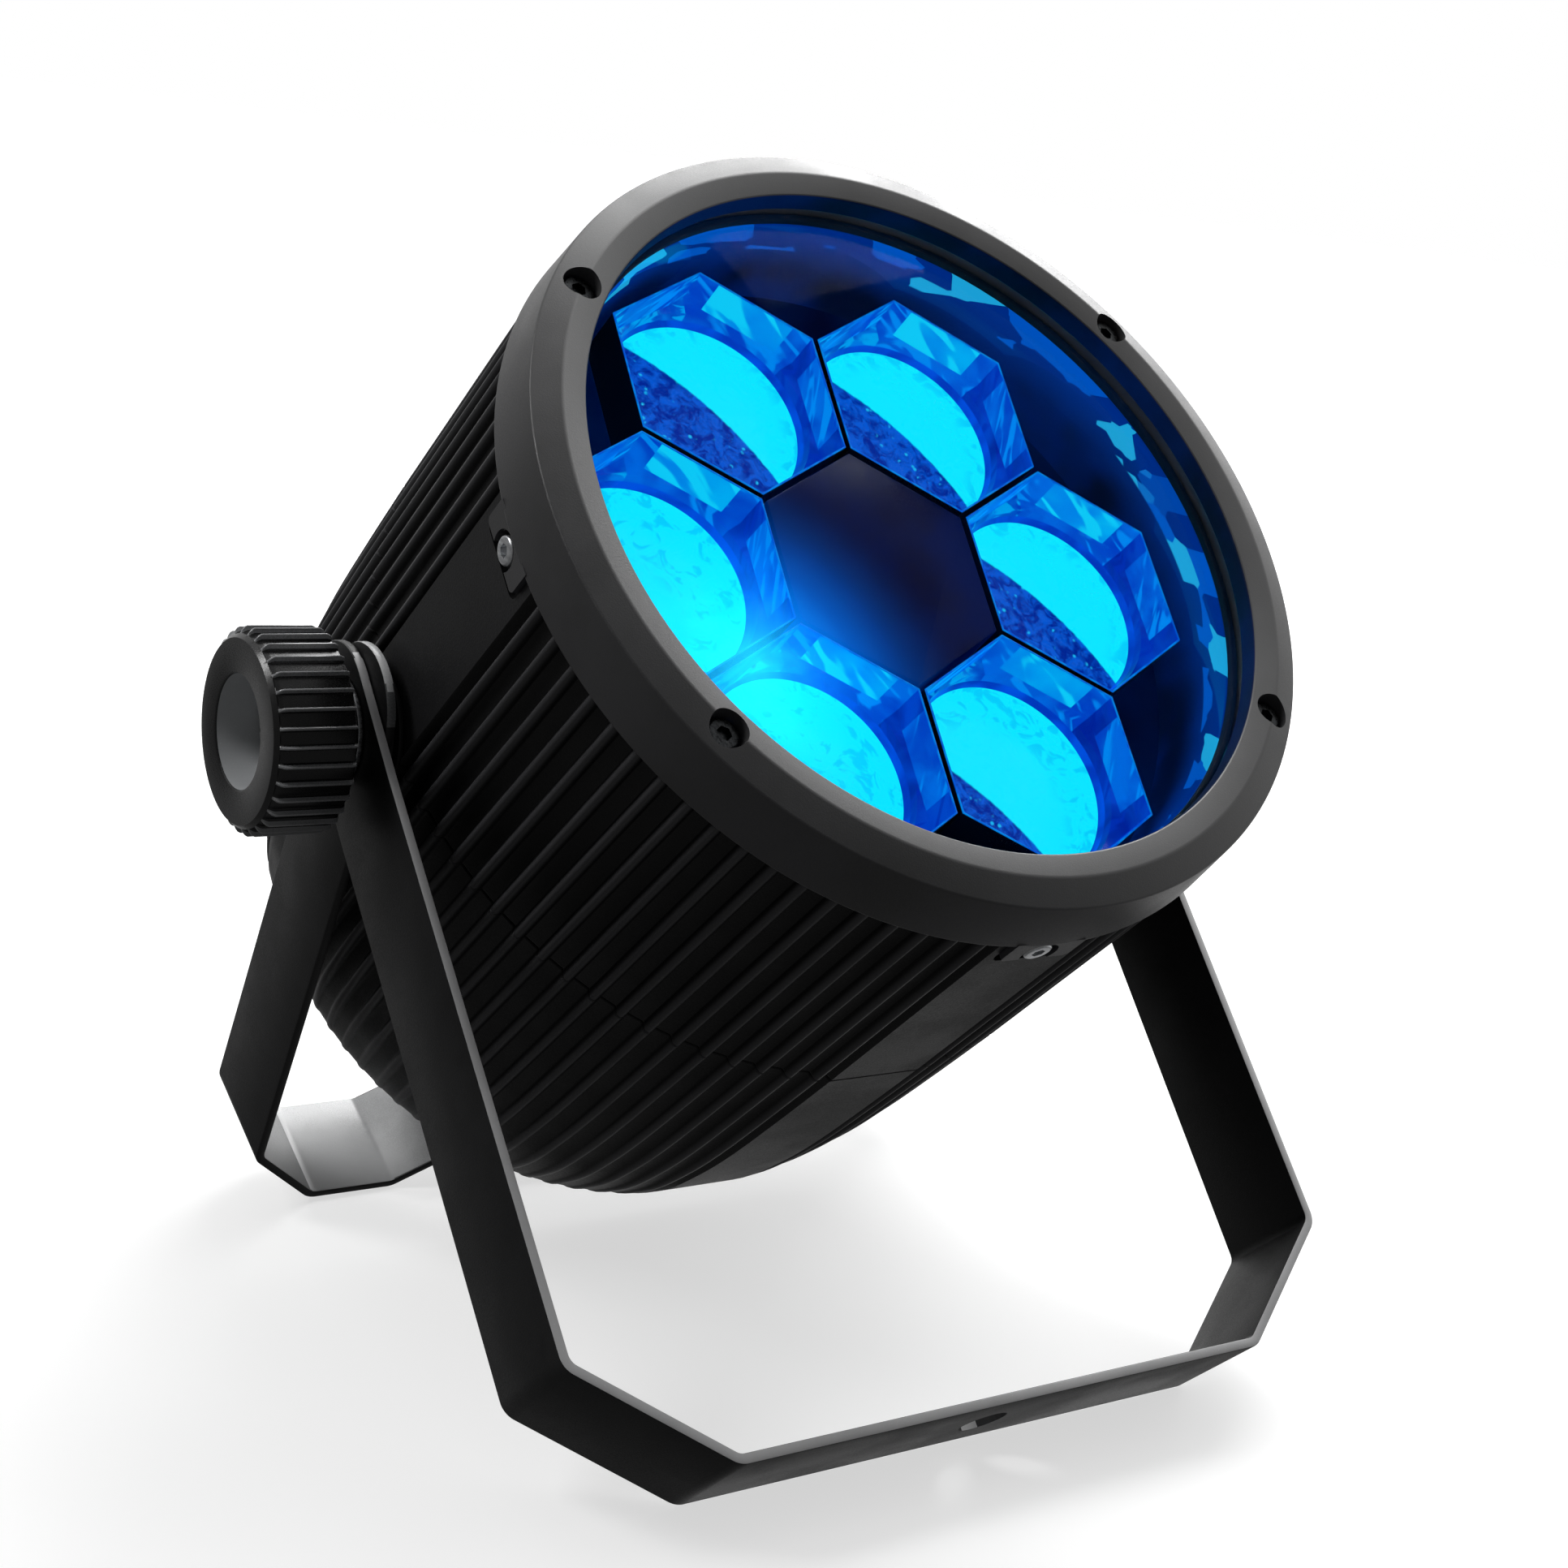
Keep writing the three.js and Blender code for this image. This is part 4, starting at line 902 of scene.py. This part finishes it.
# ---- clamping hardware ----
# One ridge and its groove: place as a share of the pitch, height as a share of the groove's depth.
RIDGE_SHAPE = ((-0.5, 0.0), (-0.17, 0.0), (-0.1, 0.3), (-0.06, 0.9), (-0.025, 1.0),
               (0.025, 1.0), (0.06, 0.9), (0.1, 0.3), (0.17, 0.0))


def knob_ring(radius, depth, z):
    """One cross-section of a knob: narrow raised ridges with wide flat grooves between them."""
    pitch = 360 / KNOB_RIDGES
    return [polar(radius - depth * (1 - height), pitch * (i + share), z)
            for i in range(KNOB_RIDGES) for share, height in RIDGE_SHAPE]


def knob(side):
    """One clamping knob with its bolt, and the boss and washer between head and bracket."""
    place = CLAMPS[side]
    low, high = KNOB_Z
    # radius, groove depth and z of each cross-section, from the bore round the outside and back
    rings = [(PIVOT_HOLE_R, 0, low), (14.4, 0, low), (15, 0, low + 0.6), (15, 0, low + 4),
             (KNOB_R - 2.2, 0.4, low + 4.4), (KNOB_R - 0.5, 1.3, low + 5), (KNOB_R, 1.7, low + 6),
             (KNOB_R, 1.7, high - 2.8), (KNOB_R - 0.4, 1.5, high - 2.1), (KNOB_R - 1.2, 0.9, high - 1.5),
             (KNOB_R - 2, 0, high - 1.2), (KNOB_R - 2.7, 0, high - 0.3), (KNOB_R - 3, 0, high),
             (15.2, 0, high), (14.7, 0, high - 0.2), (14.5, 0, high - 0.6), (13.5, 0, 138.2),
             (12.9, 0, 137.3), (12.4, 0, 137), (PIVOT_HOLE_R, 0, 137), (PIVOT_HOLE_R, 0, low)]
    verts, faces = shell([knob_ring(*ring) for ring in rings])
    count = KNOB_RIDGES * len(RIDGE_SHAPE)
    tags = []
    for i in range(len(faces)):
        row, on_shape = i // count, i % len(RIDGE_SHAPE)
        on_ridge = 4 <= row <= 9 and 2 <= on_shape <= 6
        # 1 paints a highlight on the ridge tops; the wall of the recess, 2, is painted pale for a highlight
        # too
        tags.append(1 if on_ridge else 2 if row in (15, 16) else 0)    # 2 is the wall of the recess
    piece(f"grip_{side}", verts, faces, place, [KNOB, RIDGE_HIGHLIGHT, BORE_HIGHLIGHT], f"knob_{side}", "knob_plastic",
          tags=tags, angle=34)
    bolt = soften([(0.0, 96), (4.9, 96, 0.8), (4.9, 137.3, 0), (12.6, 137.3, 0.2), (12.6, 138.4, 0.6),
                   (8.5, 140, 3), (0.0, 140)], 0.3, 5)
    head = piece(f"clamp_bolt_{side}", *lathe(bolt, 48), place, [PLATE], f"knob_bolt_{side}", "clamp_steel",
                 angle=28)
    cut(head, [prism(hexagon(4), 137.8, 142)], place, angle=28)
    boss = soften([(PIVOT_HOLE_R, 112.3), (17.5, 112.3, 0.3), (17.5, 113.6, 0.35), (15.6, 114.2, 0.4),
                   (15.6, 115.7, 0.35), (PIVOT_HOLE_R, 115.7)], 0.3, 3, closed=True)
    piece(f"boss_{side}", *lathe(boss, 72, closed=True), place, [PAINT], f"pivot_boss_{side}",
          "bracket_paint")
    disc = soften(box_section((PIVOT_HOLE_R, 14), (121.8, 123.3)), 0.3, 3, closed=True)
    piece(f"washer_{side}", *lathe(disc, 64, closed=True), place, [PLATE], f"pivot_washer_{side}",
          "clamp_steel")


# ---- rear panel ----
# name, x, y and hole radius of each connector; name and x of each button
CONNECTORS = (("power_inlet", -30, -16, 11), ("power_outlet", 30, -16, 11), ("data_in", -30, -50, 10),
              ("data_out", 30, -50, 10))
BUTTONS = (("menu", -22.5), ("down", -7.5), ("up", 7.5), ("enter", 22.5))


def rear_panel():
    """The rear plate with its buttons, connectors, display, vents and fuse."""
    disc = soften([(0.0, 115.2), (79, 115.2, 0.3), (79, 117.6, 0.6), (0.0, 117.6)], 0.3, 3)
    plate = piece("back_plate", *lathe(disc, 128), BACK, [PANEL], "rear_panel", "panel_cast")
    cutters = [drum(4.5, 110, 122, 32, x, BUTTON_Y) for _, x in BUTTONS]
    cutters += [drum(r + 0.3, 110, 122, 40, x, y) for _, x, y, r in CONNECTORS]
    slot = soften([(-26, -1.6), (26, -1.6), (26, 1.6), (-26, 1.6)], 1.5, 5, closed=True)
    cutters += [prism([(x, y + row) for x, y in slot], 110, 122) for row in (50, 57, 64)]
    cutters += [drum(1.7, 110, 122, 16, *polar(PANEL_SCREW_R, a)[:2]) for a in PANEL_SCREW_ANGLES]
    cutters.append(drum(5.6, 110, 122, 24, 0, FUSE_Y))
    cut(plate, cutters, BACK, angle=14, bevel=0.2)
    cap = soften([(0.0, 112.4), (5.5, 112.4, 0.2), (5.5, 114.9, 0.2), (4.2, 114.9, 0), (4.2, 119.9, 0.8),
                  (0.0, 119.95)], 0.2, 5)
    for name, x in BUTTONS:
        piece(f"key_{name}", *lathe(cap, 40, x, BUTTON_Y), BACK, [BUTTON], f"button_{name}",
              "button_plastic")
    for name, x, y, r in CONNECTORS:
        flange = rounded_block(rectangle(25, 28, x, y), 117.9, 119.6, 3, 0.5)
        body = piece(f"socket_{name}", *flange, BACK, [SOCKET, SCREW], name, "connector_plastic")
        cut(body, [drum(r - 2.2, 104, 123, 48, x, y)], BACK, angle=20, bevel=0.25)
        pins = [drum(1.1, 104, 113, 16, x + p.x, y + p.y) for p in (polar(4.2, a) for a in (90, 210, 330))]
        tube = lathe([(r, 118.4), (r, 98), (r - 2.2, 98), (r - 2.2, 118.4)], 48, x, y, closed=True)
        key = prism(rectangle(2.4, 3, x, y + r - 2.8), 104, 119.2)
        floor = lathe([(r - 2.1, 104), (0.01, 104)], 48, x, y)
        piece(f"insert_{name}", *joined(tube, floor, key), BACK, [SOCKET], name, "connector_plastic")
        piece(f"pins_{name}", *joined(*pins), BACK, [SCREW], name, "connector_plastic")
    piece("display_pane", *rounded_block(rectangle(46, 20, 0, 33), 117.9, 119, 2.2, 0.4), BACK, [DISPLAY],
          "display_window", "display_gloss")
    cap = soften([(0.0, 104), (5.3, 104, 0.3), (5.3, 117.9, 0), (7.6, 117.9, 0.2), (7.6, 121.2, 0.8),
                  (0.0, 121.2)], 0.3, 4)
    fuse = piece("fuse_holder", *lathe(cap, 48, 0, FUSE_Y), BACK, [SOCKET], "fuse_cap", "connector_plastic")
    cut(fuse, [prism(rectangle(9, 1.4, 0, FUSE_Y), 120.2, 123)], BACK)


# Nodes inside the head keep their CAD mesh and get a material.
CAD_FINISH = {"led_board": BOARD, "heatsink": HEATSINK, "fan_frame": FAN, "fan_rotor": FAN,
              "driver_board": DRIVER, "pivot_nut_left": PLATE, "pivot_nut_right": PLATE}


def cad_nodes():
    for name, obj in frame["nodes"].items():
        if name in CAD_FINISH:
            obj.data.materials.clear()
            obj.data.materials.append(CAD_FINISH[name])


# ---- studio ----
AIM = Vector((0, 0, 0.15))
FLOOR_HALF = 30


def area(name, where, size, power, size_y=None):
    """A white area light, aimed at the middle of the object; metres and watts."""
    data = bpy.data.lights.new(name, "AREA")
    data.energy, data.size = power, size
    if size_y:
        data.shape, data.size_y = "RECTANGLE", size_y
    obj = linked(name, data)
    obj.location = where
    obj.rotation_mode = "QUATERNION"
    obj.rotation_quaternion = (AIM - Vector(where)).to_track_quat("-Z", "Y")


def studio_light():
    """White to the camera; on the object, soft light from the right, above and behind."""
    world = bpy.data.worlds.new("studio")
    bpy.context.scene.world = world
    world.use_nodes = True
    n, nodes = Nodes(world), world.node_tree.nodes
    around = n.add("ShaderNodeTexCoord").outputs["Generated"]
    towards = n.add("ShaderNodeVectorMath", {0: around, 1: (0.75, 0.5, 0.43)}, operation="DOT_PRODUCT")
    n.put(nodes["Background"].inputs["Color"], (1, 1, 1, 1))
    n.put(nodes["Background"].inputs["Strength"], n.ramp(towards.outputs["Value"], -0.1, 0.9, 0.12, 0.95))
    seen = n.add("ShaderNodeBackground", {"Color": (1, 1, 1, 1)})
    camera_ray = n.add("ShaderNodeLightPath").outputs["Is Camera Ray"]
    chosen = n.add("ShaderNodeMixShader", {0: camera_ray, 1: nodes["Background"].outputs[0],
                                           2: seen.outputs[0]})
    n.put(nodes["World Output"].inputs["Surface"], chosen.outputs[0])
    area("key_above", (0.8, 0.68, 1.35), 1.1, 36)
    area("backdrop_right", (1.5, 1.2, 0.6), 1.2, 12, size_y=0.8)
    area("fill_left", (-1.1, 0.45, 1.35), 0.5, 11)


def pale_floor():
    """A plain pale floor that takes shadows but throws no light or reflection on the object."""
    mesh = bpy.data.meshes.new("floor")
    corners = [(-1, -1), (1, -1), (1, 1), (-1, 1)]
    mesh.from_pydata([(x * FLOOR_HALF, y * FLOOR_HALF, 0) for x, y in corners], [], [(0, 1, 2, 3)])
    floor = linked("floor", mesh)
    material, n = blank("floor_pale")
    grain = n.noise(8, 3)
    n.shade("Base Color", n.mix(grain, (0.42, 0.42, 0.42, 1), (0.44, 0.44, 0.44, 1)))
    floor.visible_diffuse = floor.visible_glossy = False
    n.shade("Roughness", 0.9)
    n.shade("Specular IOR Level", 0.1)
    n.shade("Emission Color", (1, 1, 1, 1))
    distance = n.add("ShaderNodeVectorMath", {0: n.place}, operation="LENGTH").outputs["Value"]
    n.shade("Emission Strength", n.ramp(distance, 0.25, 1.2, 0.62, 0.95))
    mesh.materials.append(material)


def photo_camera():
    """The camera at the photo's viewing angle, solved from the object's own shapes."""
    scene = bpy.context.scene
    scene.view_settings.view_transform = "Standard"
    camera = bpy.data.cameras.new("camera")
    camera.lens, camera.sensor_width, camera.sensor_fit = 56.92, 36, "HORIZONTAL"
    camera.clip_start, camera.clip_end = 0.02, 100
    obj = linked("camera", camera)
    forward = Vector((0.56308, 0.78891, -0.24609)).normalized()
    right = forward.cross(Vector((0.03914, 0.27198, 0.96151))).normalized()
    up = right.cross(forward)
    turn = Matrix((right, up, -forward)).transposed()
    obj.matrix_world = Matrix.Translation((-0.38432, -0.56069, 0.31228)) @ turn.to_4x4()
    scene.camera = obj


brackets()
housings()
bezel()
screws()
optics()
for side in CLAMPS:
    knob(side)
rear_panel()
cad_nodes()
studio_light()
pale_floor()
photo_camera()
